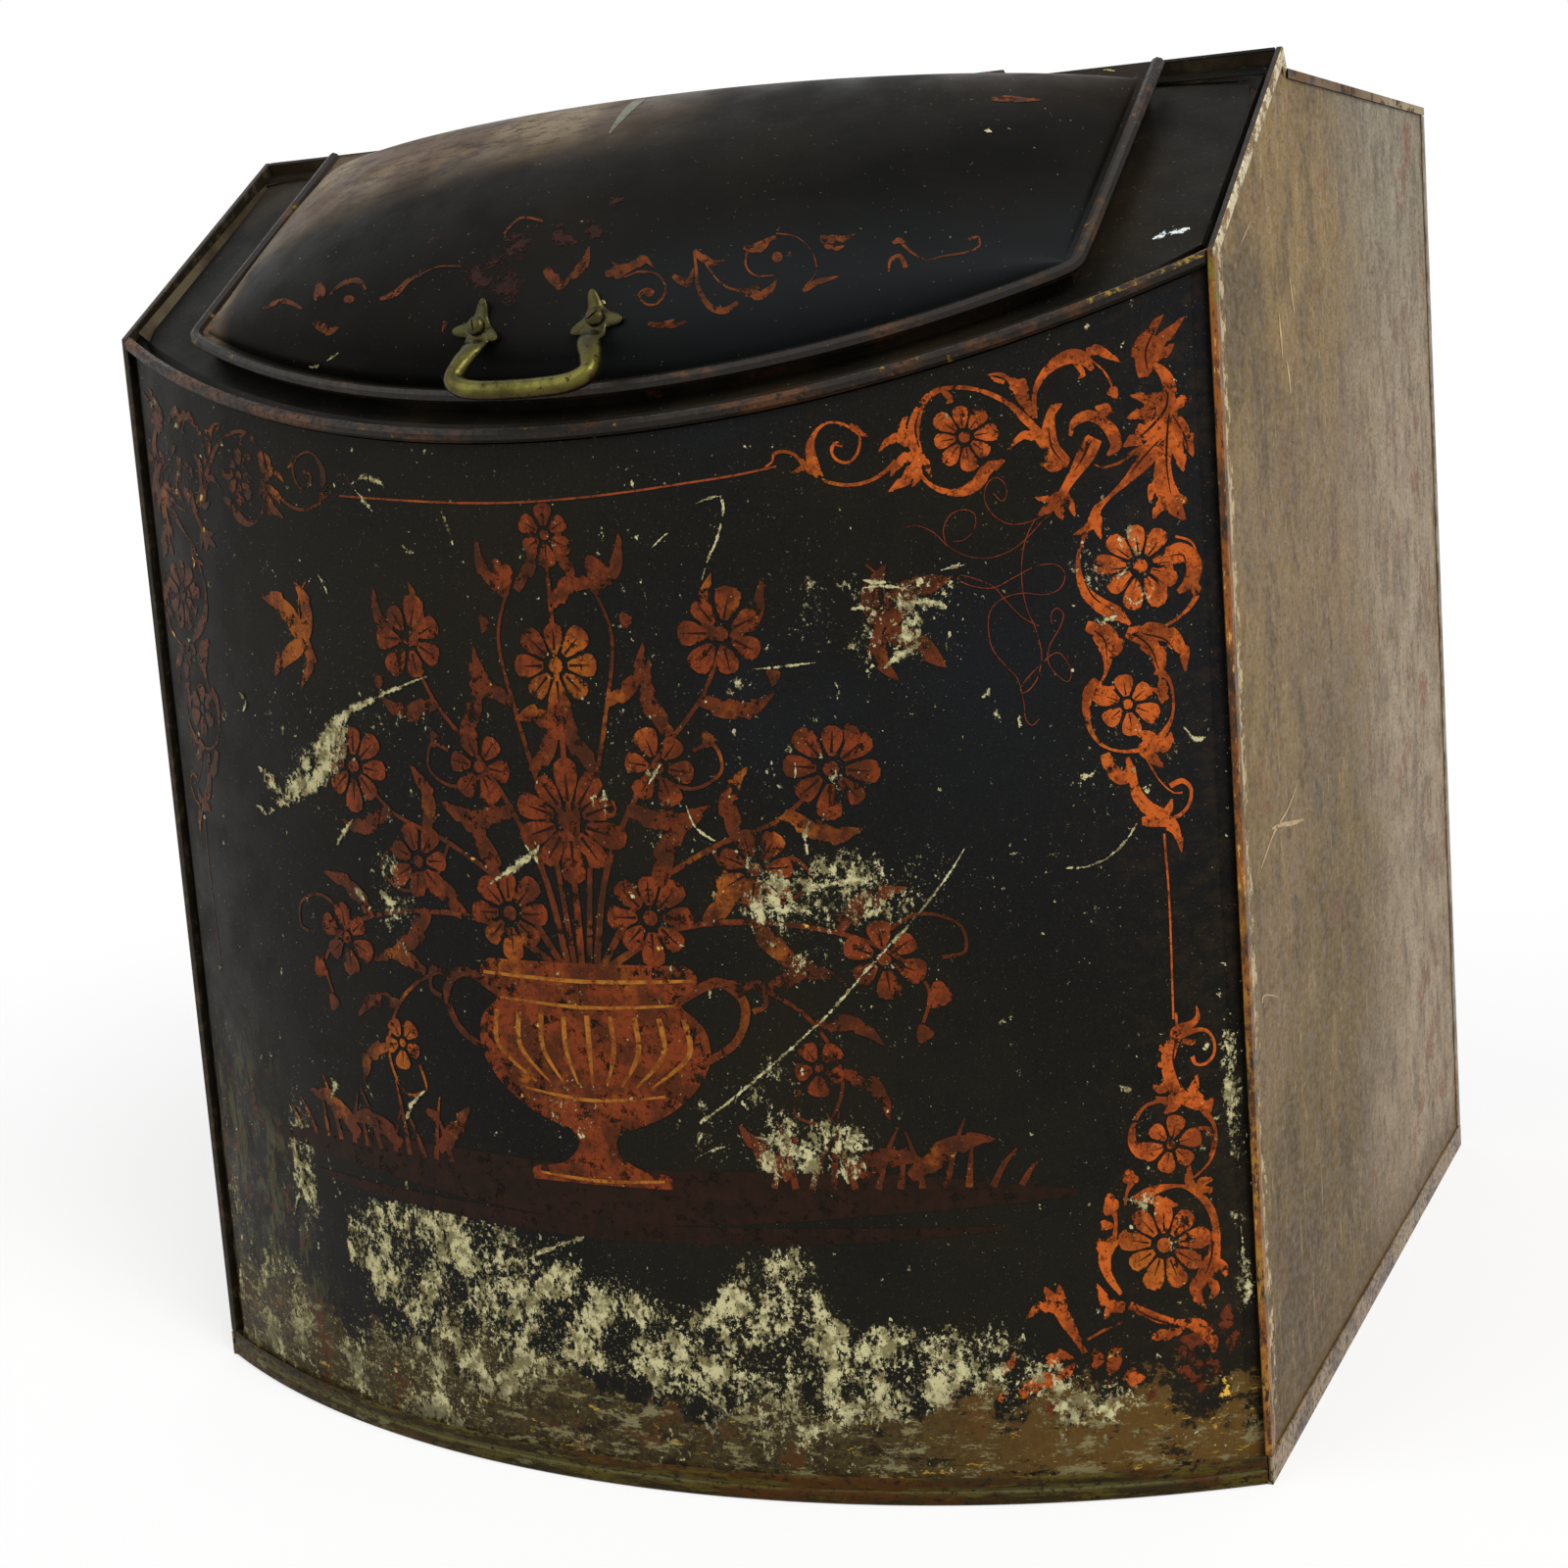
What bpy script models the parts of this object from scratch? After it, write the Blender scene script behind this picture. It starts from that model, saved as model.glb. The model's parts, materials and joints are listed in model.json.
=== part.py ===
# Slant-front tea bin of painted sheet tin, with a bowed front and a hinged, domed lid.
# Metres, +Z up. The bowed front faces -Y, the origin is on the floor below the middle.

import math

import bmesh
import bpy
from mathutils import Matrix, Vector
from mathutils.bvhtree import BVHTree

# Body, outside sizes
BODY_WIDTH = 0.530
SIDE_DEPTH = 0.438
FRONT_BOW = 0.0757
LIP_HEIGHT = 0.591
SLOPE_RISE = 0.086
SLOPE_RUN = 0.126
LIP_STEP = 0.009

# Sheet metal and the gap left between neighbours
SHEET = 0.0008
GAP = 0.0003
OVERRUN = 0.010

# Folded binding along the free edges of each side
BINDING_DEPTH = 0.006
BINDING_ROUND = 0.0006

# Front panel
FRONT_RECESS = 0.0035
GROOVE_WIDTH = 0.0050
GROOVE_DEPTH = 0.0020
GROOVE_SLOPE = 0.0012

# Base rim: its height, the foot turned in under the walls, and the double bead at the front
BASE_HEIGHT = 0.012
BASE_FOOT = 0.009
BASE_BEAD_OUT = 0.0012
BASE_BEAD_HEIGHT = 0.0064
BASE_BEAD_START_DEGREES = 52
BASE_UPPER_START_DEGREES = 34
BASE_UPPER_OUT_SHARE = 0.5

# Sloping panel
RIM_BEAD_RADIUS = 0.003
PANEL_DROP = 0.006
RIDGE_OUT = 0.0020
RIDGE_WIDTH = 0.0026
RIDGE_HEIGHT = 0.0022
RIDGE_FADE = 0.016

# Raised lip across the top of the slope, and the flat top behind it
LIP_THICKNESS = 0.003
LIP_DEPTH = 0.014
TOP_FLANGE = 0.004

# Lid: how far it keeps from the sides, the lip and the rim, and above the slope's plane
LID_FROM_SIDE = 0.0516
LID_FROM_LIP = 0.0115
LID_FROM_RIM = 0.0178
LID_CORNER_FROM_RIM = 0.0228
LID_OFF = 0.0048
LID_BEAD_RADIUS = 0.003
LID_CORNER_RADIUS = 0.006
LID_FLANGE = 0.006
LID_BACK_FLANGE = 0.012
DOME_CROWN = 0.0425
DOME_ACROSS_SHARE = 0.61
DOME_ALONG_SHARE = 0.36

# Neck round the opening
COLLAR_INSET = 0.0042
COLLAR_BACK_INSET = 0.0105
COLLAR_BELOW = 0.003

# Hinges
HINGE_SPACING = 0.260
HINGE_WIDTH = 0.022
HINGE_PIN_RADIUS = 0.0012
HINGE_BORE_CLEARANCE = 0.0003
KNUCKLE_RADIUS = 0.0024
KNUCKLE_WIDTH = 0.0074
KNUCKLE_PROUD = 0.0003
LEAF_THICKNESS = 0.0010
BODY_LEAF_FOOT = 0.012
PIN_OVERHANG = 0.0008
LID_LEAF_LAP = 0.0100

# Rivets
RIVET_RADIUS = 0.0012
RIVET_HEAD_RADIUS = 0.0020
RIVET_HEAD_HEIGHT = 0.0009
RIVET_SPACING = 0.014
RIVET_FROM_EDGE = 0.0055

# Bow handle
HANDLE_FOOT_SPACING = 0.0556
HANDLE_FOOT_BEHIND_EDGE = 0.0169
HANDLE_FOOT_THICKNESS = 0.0022
HANDLE_FOOT_REACH = 0.0110
HANDLE_FOOT_WAIST = 0.0048
HANDLE_STEM_REACH = 0.0085
HANDLE_STEM_HALF = 0.0034
HANDLE_ROOT_RADIUS = 0.0010
HANDLE_BAR_HALF = 0.0320
HANDLE_BAR_BEFORE_EDGE = 0.0145
HANDLE_BAR_LIFT = 0.0161
HANDLE_BAR_RADIUS = 0.0036
HANDLE_ARM_RADIUS = 0.0042
HANDLE_ARM_RISE = 0.0030
HANDLE_BEND_RADIUS = 0.0080
LEAF_TIPS_DEGREES = (90, 198, 342)
LEAF_LEAN_DEGREES = 24
LEAF_NOTCH_DEGREES = 54
LEAF_SIDE_SHARE = 0.62

# Handle screws, washers and nuts
SCREW_RADIUS = 0.0019
SCREW_HEAD_RADIUS = 0.0042
SCREW_HEAD_HEIGHT = 0.0022
SCREW_SLOT_WIDTH = 0.0009
SCREW_SLOT_DEPTH = 0.0010
SCREW_TURN_DEGREES = {"left": 12, "right": -48}
SCREW_BELOW_NUT = 0.0020
WASHER_RADIUS = 0.0045
WASHER_THICKNESS = 0.0008
NUT_RADIUS = 0.0042
NUT_THICKNESS = 0.0030

# How finely the curves are drawn
BOW_STEPS = 40
LID_ARC_STEPS = 32
DOME_STEPS_ACROSS = 32
DOME_STEPS_ALONG = 22
CORNER_STEPS = 3
BEAD_STEPS = 4
BEND_STEPS = 4
ROUND_STEPS = 16
MERGE_DISTANCE = 0.00002

# Worked out from the sizes above
HALF_WIDTH = BODY_WIDTH / 2
FRONT_HEIGHT = LIP_HEIGHT - SLOPE_RISE
TOP_HEIGHT = LIP_HEIGHT - LIP_STEP
SLOPE_ANGLE = math.atan2(SLOPE_RISE, SLOPE_RUN)
SLOPE_LENGTH = math.hypot(SLOPE_RISE, SLOPE_RUN)
RISE = math.sin(SLOPE_ANGLE)
RUN = math.cos(SLOPE_ANGLE)
BOW_RADIUS = (HALF_WIDTH**2 + FRONT_BOW**2) / (2 * FRONT_BOW)

LID_HALF_WIDTH = HALF_WIDTH - LID_FROM_SIDE
LID_BACK = SLOPE_LENGTH - LID_FROM_LIP
RIM_BESIDE_LID = BOW_RADIUS - FRONT_BOW - math.sqrt(BOW_RADIUS**2 - LID_HALF_WIDTH**2)
LID_FRONT_CORNER = RIM_BESIDE_LID / RUN + LID_CORNER_FROM_RIM
LID_FRONT_MIDDLE = LID_FROM_RIM - FRONT_BOW / RUN
LID_BOW = LID_FRONT_CORNER - LID_FRONT_MIDDLE
LID_BOW_RADIUS = (LID_HALF_WIDTH**2 + LID_BOW**2) / (2 * LID_BOW)
HANDLE_FOOT_V = LID_FRONT_MIDDLE + HANDLE_FOOT_BEHIND_EDGE
HANDLE_BAR_V = LID_FRONT_MIDDLE - HANDLE_BAR_BEFORE_EDGE
HANDLE_BAR_OFF = LID_OFF + HANDLE_BAR_LIFT
HANDLE_REACH = HANDLE_BAR_OFF * RISE - HANDLE_BAR_V * RUN + HANDLE_BAR_RADIUS
FRONT_Y = (max(FRONT_BOW, HANDLE_REACH) - SIDE_DEPTH) / 2
BACK_Y = FRONT_Y + SIDE_DEPTH
BOW_CENTRE_Y = FRONT_Y + BOW_RADIUS - FRONT_BOW

SIDE_EDGE = SHEET + GAP
SIDE_X = HALF_WIDTH - SIDE_EDGE - SHEET / 2
BINDING_WIDTH = 3 * SHEET + 2 * GAP
INNER_HALF = HALF_WIDTH - BINDING_WIDTH - GAP
WALL_BOTTOM = SHEET + GAP
BETWEEN_SIDES = HALF_WIDTH - 2 * SHEET - 2 * GAP

LIP_FRONT = SLOPE_LENGTH - LIP_THICKNESS
HINGE_PIN_V = LIP_FRONT - GAP - KNUCKLE_RADIUS
HINGE_BORE_RADIUS = HINGE_PIN_RADIUS + HINGE_BORE_CLEARANCE
LID_UNDERSIDE = LID_OFF - SHEET / 2
LID_TOPSIDE = LID_OFF + SHEET / 2
HINGE_PIN_OFF = LID_TOPSIDE + GAP + LEAF_THICKNESS + KNUCKLE_PROUD - KNUCKLE_RADIUS
COLLAR_TOP = LID_UNDERSIDE - GAP
PANEL_TOP = SHEET / 2 - PANEL_DROP


def bow_y(x, inset):
    """Y of the bowed front at x, on the arc that lies this far inside the outermost one."""
    return BOW_CENTRE_Y - math.sqrt((BOW_RADIUS - inset) ** 2 - x**2)


def slope_v(y, off):
    """Place along the slope of a point at this y, this far off the slope's plane."""
    return (y - FRONT_Y + off * RISE) / RUN


def slope_point(v, off):
    """Y and Z of a place on the slope."""
    return FRONT_Y + v * RUN - off * RISE, FRONT_HEIGHT + v * RISE + off * RUN


def slope_off(v, z):
    """How far off the slope's plane a point at this v and height lies."""
    return (z - FRONT_HEIGHT - v * RISE) / RUN


def spread(low, high, steps):
    return [low + (high - low) * i / steps for i in range(steps + 1)]


def lid_front(x, inset):
    """Place along the slope of the lid's bowed front edge, on the arc that lies inset within it."""
    return LID_FRONT_MIDDLE + LID_BOW_RADIUS - math.sqrt((LID_BOW_RADIUS - inset) ** 2 - x**2)


def dome_height(x, v):
    """Rise of the lid's dome above its flange."""
    low = lid_front(x, LID_FLANGE)
    high = LID_BACK - LID_BACK_FLANGE
    across = x / (LID_HALF_WIDTH - LID_FLANGE)
    along = (v - (low + high) / 2) / ((high - low) / 2)
    bulge_across = max(0.0, 1 - across**2) ** DOME_ACROSS_SHARE
    bulge_along = max(0.0, 1 - along**2) ** DOME_ALONG_SHARE
    return DOME_CROWN * bulge_across * bulge_along


def clear_scene():
    for obj in list(bpy.data.objects):
        bpy.data.objects.remove(obj, do_unlink=True)


def collection(name):
    made = bpy.data.collections.new(name)
    bpy.context.scene.collection.children.link(made)
    return made


def paint(name, colour, roughness, metallic):
    material = bpy.data.materials.new(name)
    material.use_nodes = True
    shader = material.node_tree.nodes["Principled BSDF"]
    shader.inputs["Base Color"].default_value = (*colour, 1)
    shader.inputs["Roughness"].default_value = roughness
    shader.inputs["Metallic"].default_value = metallic
    return material


clear_scene()
PARTS = collection("tea_bin")
CUTTERS = collection("cutters")

BLACK_JAPAN = ((0.018, 0.017, 0.018), 0.38, 0.0)
WORN_EDGE = ((0.150, 0.075, 0.030), 0.45, 0.5)
BARE_TIN = ((0.270, 0.235, 0.205), 0.42, 0.7)
DARK_TIN = ((0.110, 0.100, 0.095), 0.50, 0.6)
OLD_BRASS = ((0.330, 0.250, 0.075), 0.35, 0.9)
OLD_IRON = ((0.120, 0.095, 0.080), 0.50, 0.8)


def empty(name, location, rotation=(0, 0, 0), parent=None):
    made = bpy.data.objects.new(name, None)
    made.location = location
    made.rotation_euler = rotation
    made.parent = parent
    PARTS.objects.link(made)
    return made


def add_object(name, data, look, parent=None, location=(0, 0, 0)):
    """A named part with a material of its own, placed under its parent."""
    made = bpy.data.objects.new(name, data)
    made.parent = parent
    made.location = location
    if look:
        data.materials.append(paint(name, *look))
        PARTS.objects.link(made)
    else:
        made.hide_render = True
        made.display_type = "WIRE"
        CUTTERS.objects.link(made)
    return made


def shade(mesh):
    mesh.shade_smooth()
    mesh.set_sharp_from_angle(angle=math.radians(35))


def mesh_of(name, build):
    """A new mesh, filled by the function build."""
    work = bmesh.new()
    build(work)
    mesh = bpy.data.meshes.new(name)
    bmesh.ops.recalc_face_normals(work, faces=work.faces)
    work.to_mesh(mesh)
    work.free()
    return mesh


def loft_mesh(name, rows, closed=False):
    """An open sheet through rows of points, each row as long as the others."""

    def build(work):
        lines = [[work.verts.new(point) for point in row] for row in rows]
        for low, high in zip(lines, lines[1:]):
            for i in range(len(low) - (0 if closed else 1)):
                j = (i + 1) % len(low)
                work.faces.new((low[i], low[j], high[j], high[i]))

    mesh = mesh_of(name, build)
    shade(mesh)
    return mesh


def thicken(obj, thickness, offset=0.0):
    solid = obj.modifiers.new("sheet", "SOLIDIFY")
    solid.thickness = thickness
    solid.offset = offset
    solid.use_even_offset = True
    return obj


def box_mesh(name, low, high):
    """A box between two corners."""
    centre = [(a + b) / 2 for a, b in zip(low, high)]
    size = [b - a for a, b in zip(low, high)]

    def build(work):
        bmesh.ops.create_cube(work, size=1, matrix=Matrix.Translation(centre) @ Matrix.Diagonal((*size, 1)))

    return mesh_of(name, build)


def cylinder_mesh(name, radius, length, matrix=None, sides=ROUND_STEPS):
    """A cylinder along Z about the origin, or moved by matrix."""

    def build(work):
        bmesh.ops.create_cone(
            work,
            cap_ends=True,
            segments=sides,
            radius1=radius,
            radius2=radius,
            depth=length,
            matrix=matrix or Matrix.Identity(4),
        )

    mesh = mesh_of(name, build)
    shade(mesh)
    return mesh


def plate_mesh(name, outline, thickness, matrix=None):
    """A flat plate with this outline in XY, its middle plane at Z 0, or moved by matrix."""
    curve = bpy.data.curves.new(name, "CURVE")
    curve.dimensions = "2D"
    curve.fill_mode = "BOTH"
    curve.extrude = thickness / 2
    spline = curve.splines.new("POLY")
    spline.points.add(len(outline) - 1)
    for point, (x, y) in zip(spline.points, outline):
        point.co = (x, y, 0, 1)
    spline.use_cyclic_u = True
    return solid_from_curve(name, curve, matrix)


def solid_from_curve(name, curve, matrix=None):
    """The closed mesh of a curve, its caps welded to its sides."""
    holder = bpy.data.objects.new(name, curve)
    CUTTERS.objects.link(holder)
    bpy.context.view_layer.update()
    seen = holder.evaluated_get(bpy.context.evaluated_depsgraph_get())
    mesh = bpy.data.meshes.new_from_object(seen)
    work = bmesh.new()
    work.from_mesh(mesh)
    bmesh.ops.remove_doubles(work, verts=work.verts, dist=MERGE_DISTANCE)
    bmesh.ops.recalc_face_normals(work, faces=work.faces)
    work.to_mesh(mesh)
    work.free()
    if matrix:
        mesh.transform(matrix)
    shade(mesh)
    bpy.data.objects.remove(holder, do_unlink=True)
    bpy.data.curves.remove(curve)
    return mesh


def tube_curve(name, points, radius, resolution=2, radii_shares=None):
    """A round rod through the points."""
    curve = bpy.data.curves.new(name, "CURVE")
    curve.dimensions = "3D"
    curve.bevel_depth = radius
    curve.bevel_resolution = resolution
    curve.use_fill_caps = True
    spline = curve.splines.new("POLY")
    spline.points.add(len(points) - 1)
    for i, (point, place) in enumerate(zip(spline.points, points)):
        point.co = (*place, 1)
        point.radius = radii_shares[i] if radii_shares else 1
    return curve


def cut(obj, cutter, operation="DIFFERENCE"):
    """Cuts obj with cutter, or joins the cutter's shape to it."""
    change = obj.modifiers.new(cutter.name, "BOOLEAN")
    change.object = cutter
    change.operation = operation
    change.solver = "EXACT"


def cutter(name, mesh, parent=None, location=(0, 0, 0)):
    return add_object(name, mesh, None, parent, location)


def round_edges(obj, width, segments=2):
    bevel = obj.modifiers.new("rounded", "BEVEL")
    bevel.width = width
    bevel.segments = segments
    bevel.limit_method = "ANGLE"
    bevel.angle_limit = math.radians(30)


def bent(points, radius, steps):
    """The same path with each inner corner rounded to about this radius."""
    places = [Vector(point) for point in points]
    path = [places[0]]
    for before, corner, after in zip(places, places[1:], places[2:]):
        back = (before - corner).normalized()
        on = (after - corner).normalized()
        reach = min(radius, (before - corner).length / 2, (after - corner).length / 2)
        start, end = corner + back * reach, corner + on * reach
        for i in range(steps + 1):
            t = i / steps
            path.append(start * (1 - t) ** 2 + corner * 2 * t * (1 - t) + end * t**2)
    path.append(places[-1])
    return path


# The slope's own frame: X across, Y up the slope, Z square to it
SLOPE = empty("slope_frame", (0, FRONT_Y, FRONT_HEIGHT), (SLOPE_ANGLE, 0, 0))
LID = empty("lid_pivot", (0, HINGE_PIN_V, HINGE_PIN_OFF), parent=SLOPE)
FROM_PIVOT = (0, -HINGE_PIN_V, -HINGE_PIN_OFF)
SIDEWAYS = Matrix(((0, 0, 1, 0), (1, 0, 0, 0), (0, 1, 0, 0), (0, 0, 0, 1)))
ALONG_X = Matrix.Rotation(math.radians(90), 4, "Y")


# Sides and the folded bindings on their edges
def side_outline(edge, bottom):
    """Outline of a side in Y and Z, taken in by edge everywhere but at the bottom."""
    front = FRONT_Y + edge
    lip_v = SLOPE_LENGTH - edge
    corner = (front, FRONT_HEIGHT + (front - FRONT_Y) * RISE / RUN - edge / RUN)
    peak = slope_point(lip_v, -edge)
    heel = slope_point(lip_v, slope_off(lip_v, TOP_HEIGHT - edge))
    back = BACK_Y - edge
    return [(front, bottom), (back, bottom), (back, TOP_HEIGHT - edge), heel, peak, corner]


def front_binding_outline(depth):
    """Strip along a side's front edge, up the slope and over the lip."""
    outer = side_outline(0, BASE_HEIGHT + GAP)
    inner = side_outline(depth, BASE_HEIGHT + GAP)
    lip_off = slope_off(SLOPE_LENGTH, TOP_HEIGHT)
    end = slope_point(SLOPE_LENGTH - depth, lip_off)
    return [outer[0], inner[0], inner[5], inner[4], end, outer[3], outer[4], outer[5]]


def make_side(side, name):
    plate = plate_mesh(name, side_outline(SIDE_EDGE, WALL_BOTTOM), SHEET, SIDEWAYS)
    add_object(name + "_side_panel", plate, BARE_TIN, location=(side * SIDE_X, 0, 0))

    slot_mesh = plate_mesh(name + "_slot", side_outline(SHEET, -OVERRUN), SHEET + 2 * GAP, SIDEWAYS)
    slot = cutter(name + "_slot", slot_mesh, location=(side * SIDE_X, 0, 0))
    binding_x = HALF_WIDTH - BINDING_WIDTH / 2
    strip = plate_mesh(name + "_binding", front_binding_outline(BINDING_DEPTH), BINDING_WIDTH, SIDEWAYS)
    front = add_object(name + "_front_binding", strip, WORN_EDGE, location=(side * binding_x, 0, 0))
    round_edges(front, BINDING_ROUND)
    cut(front, slot)

    low = (-BINDING_WIDTH / 2, BACK_Y - BINDING_DEPTH, BASE_HEIGHT + GAP)
    high = (BINDING_WIDTH / 2, BACK_Y, TOP_HEIGHT - TOP_FLANGE - GAP)
    strip = box_mesh(name + "_back_binding", low, high)
    back = add_object(name + "_back_binding", strip, DARK_TIN, location=(side * binding_x, 0, 0))
    round_edges(back, BINDING_ROUND)
    cut(back, slot)


# Front, back, bottom and top
def rim_bead_point(x):
    """Centre of the rolled bead along the front of the slope, in the slope's frame."""
    y = bow_y(x, RIM_BEAD_RADIUS)
    return x, slope_v(y, -RIM_BEAD_RADIUS), -RIM_BEAD_RADIUS


def make_front():
    groove_in = INNER_HALF - GROOVE_WIDTH
    flat_in = groove_in - GROOVE_SLOPE
    xs = [-INNER_HALF, -groove_in, *spread(-flat_in, flat_in, BOW_STEPS), groove_in, INNER_HALF]
    under_bead = RIM_BEAD_RADIUS / RUN + GAP
    rows = []
    for x in xs:
        step = GROOVE_DEPTH if abs(x) > flat_in + GAP else 0
        y = bow_y(x, FRONT_RECESS + step)
        _, bead_v, bead_off = rim_bead_point(x)
        bead_y, bead_z = slope_point(bead_v, bead_off)
        top = bead_z + (y - bead_y) * RISE / RUN - under_bead
        rows.append([(x, y, WALL_BOTTOM), (x, y, top)])
    panel = add_object("front_panel", loft_mesh("front_panel", rows), BLACK_JAPAN)
    thicken(panel, SHEET, inward(rows))
    points = [rim_bead_point(x) for x in spread(-HALF_WIDTH, HALF_WIDTH, BOW_STEPS)]
    mesh = solid_from_curve("front_rim_bead", tube_curve("front_rim_bead", points, RIM_BEAD_RADIUS))
    bead = add_object("front_rim_bead", mesh, WORN_EDGE, SLOPE)
    low = (-INNER_HALF, -BODY_WIDTH, -BODY_WIDTH)
    high = (INNER_HALF, BODY_WIDTH, BODY_WIDTH)
    between = cutter("between_sides", box_mesh("between_sides", low, high), SLOPE)
    cut(bead, between, "INTERSECT")


def inward(rows):
    """Sign of Solidify's offset that thickens an upright sheet towards the back (+Y)."""
    a, b, c = Vector(rows[0][0]), Vector(rows[1][0]), Vector(rows[0][1])
    normal = (b - a).cross(c - a)
    return 1.0 if normal.y > 0 else -1.0


def make_back():
    low = (-INNER_HALF, BACK_Y - SIDE_EDGE - SHEET, WALL_BOTTOM)
    high = (INNER_HALF, BACK_Y - SIDE_EDGE, TOP_HEIGHT - SIDE_EDGE)
    add_object("back_panel", box_mesh("back_panel", low, high), DARK_TIN)


def make_bottom():
    inset = FRONT_RECESS + GROOVE_DEPTH + SHEET + GAP
    xs = spread(-INNER_HALF, INNER_HALF, BOW_STEPS)
    back = BACK_Y - SIDE_EDGE - SHEET - GAP
    outline = [(x, bow_y(x, inset)) for x in xs] + [(INNER_HALF, back), (-INNER_HALF, back)]
    plate = plate_mesh("bottom_panel", outline, SHEET)
    add_object("bottom_panel", plate, DARK_TIN, location=(0, 0, WALL_BOTTOM + SHEET / 2))


def folded_sheet(name, section, ends, look, thickness=SHEET, parent=None, location=(0, 0, 0)):
    """A sheet folded to the section, which is its middle line in Y and Z, between two places on X."""
    rows = [[(x, y, z) for y, z in section] for x in ends]
    return thicken(add_object(name, loft_mesh(name, rows), look, parent, location), thickness)


def make_top():
    plane = TOP_HEIGHT - SHEET / 2
    edge = HALF_WIDTH - SHEET / 2
    low = TOP_HEIGHT - TOP_FLANGE
    front = slope_point(SLOPE_LENGTH, slope_off(SLOPE_LENGTH, TOP_HEIGHT - SHEET))[0] + GAP
    section = [(-edge, low), (-edge, plane), (edge, plane), (edge, low)]
    rows = [[(x, y, z) for x, z in section] for y in (front, BACK_Y)]
    thicken(add_object("top_panel", loft_mesh("top_panel", rows), BLACK_JAPAN), SHEET)


def make_base():
    middle = SHEET / 2
    edge = HALF_WIDTH - middle
    for side, name in ((-1, "left"), (1, "right")):
        section = [(HALF_WIDTH - BASE_FOOT, middle), (edge, middle), (edge, BASE_HEIGHT)]
        rows = [[(side * x, y, z) for x, z in section] for y in (FRONT_Y, BACK_Y)]
        fold = add_object(name + "_base_fold", loft_mesh(name + "_base_fold", rows), WORN_EDGE)
        thicken(fold, SHEET)

    section = [(BACK_Y - BASE_FOOT, middle), (BACK_Y - middle, middle), (BACK_Y - middle, BASE_HEIGHT)]
    back = folded_sheet("back_base_fold", section, (-INNER_HALF, INNER_HALF), WORN_EDGE)

    lower, upper = BASE_BEAD_HEIGHT, BASE_HEIGHT - BASE_BEAD_HEIGHT
    out = BASE_BEAD_OUT
    profile = [(BASE_FOOT, middle), (middle + out, middle)]
    for a in spread(math.radians(BASE_BEAD_START_DEGREES), math.pi, BEAD_STEPS):
        profile.append((middle + out * (1 - math.sin(a)), lower * (1 - math.cos(a)) / 2))
    for a in spread(math.radians(BASE_UPPER_START_DEGREES), math.pi, BEAD_STEPS):
        inset = middle + out * (1 - BASE_UPPER_OUT_SHARE * math.sin(a))
        profile.append((inset, lower + upper * (1 - math.cos(a)) / 2))
    half = BETWEEN_SIDES
    rows = [[(x, bow_y(x, inset), z) for inset, z in profile] for x in spread(-half, half, BOW_STEPS)]
    front = thicken(add_object("front_base_bead", loft_mesh("front_base_bead", rows), WORN_EDGE), SHEET)
    for side, name in ((-1, "left"), (1, "right")):
        inner = HALF_WIDTH - BASE_FOOT - GAP
        xs = sorted((side * inner, side * (HALF_WIDTH + OVERRUN)))
        low = (xs[0], FRONT_Y - GAP, -OVERRUN)
        high = (xs[1], BACK_Y + OVERRUN, SHEET + GAP)
        corner = cutter(name + "_foot_corner", box_mesh(name + "_foot_corner", low, high))
        cut(front, corner)
        cut(back, corner)


# Sloping panel with its opening, the neck in it and the lip above it
def slope_ring(half, front, back, off, back_off, steps=LID_ARC_STEPS):
    """A closed ring of points: along the bowed front from left to right, then back up the sides."""
    ring = [(x, front(x), off) for x in spread(-half, half, steps)]
    fade = back - RIDGE_FADE
    return ring + [(half, fade, off), (half, back, back_off), (-half, back, back_off), (-half, fade, off)]


def lid_ring(inset, back_inset, off):
    """A ring that follows the lid's outline, moved in."""
    half = LID_HALF_WIDTH - inset
    return slope_ring(half, lambda x: lid_front(x, inset), LID_BACK - back_inset, off, off)


def make_slope():
    plane = -PANEL_DROP
    insets = [
        (0, 0),
        (RIDGE_OUT, 0),
        (RIDGE_OUT + RIDGE_WIDTH / 2, RIDGE_HEIGHT),
        (RIDGE_OUT + RIDGE_WIDTH, 0),
    ]
    under_bead = 2 * RIM_BEAD_RADIUS
    rings = []
    for inset, rise in insets:
        off = plane + rise
        depth = under_bead + inset
        rings.append(
            slope_ring(
                INNER_HALF - inset,
                lambda x, depth=depth, off=off: slope_v(bow_y(x, depth), off),
                LIP_FRONT - GAP - SHEET - inset,
                off,
                plane,
            )
        )
    hole = COLLAR_INSET - GAP
    back_hole = COLLAR_BACK_INSET - GAP
    rings.append(lid_ring(hole, back_hole, plane))
    panel = add_object("slope_panel", loft_mesh("slope_panel", rings, closed=True), BLACK_JAPAN, SLOPE)
    thicken(panel, SHEET)

    low = -PANEL_DROP - SHEET / 2 - COLLAR_BELOW
    middle = SHEET / 2
    rings = [lid_ring(COLLAR_INSET + middle, COLLAR_BACK_INSET + middle, off) for off in (low, COLLAR_TOP)]
    collar = add_object("opening_collar", loft_mesh("opening_collar", rings, closed=True), DARK_TIN, SLOPE)
    thicken(collar, SHEET)

    lip = box_mesh("slope_lip", (-INNER_HALF, LIP_FRONT, -LIP_DEPTH), (INNER_HALF, SLOPE_LENGTH, 0))
    round_edges(add_object("slope_lip", lip, BLACK_JAPAN, SLOPE), BINDING_ROUND)
    return panel


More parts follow.
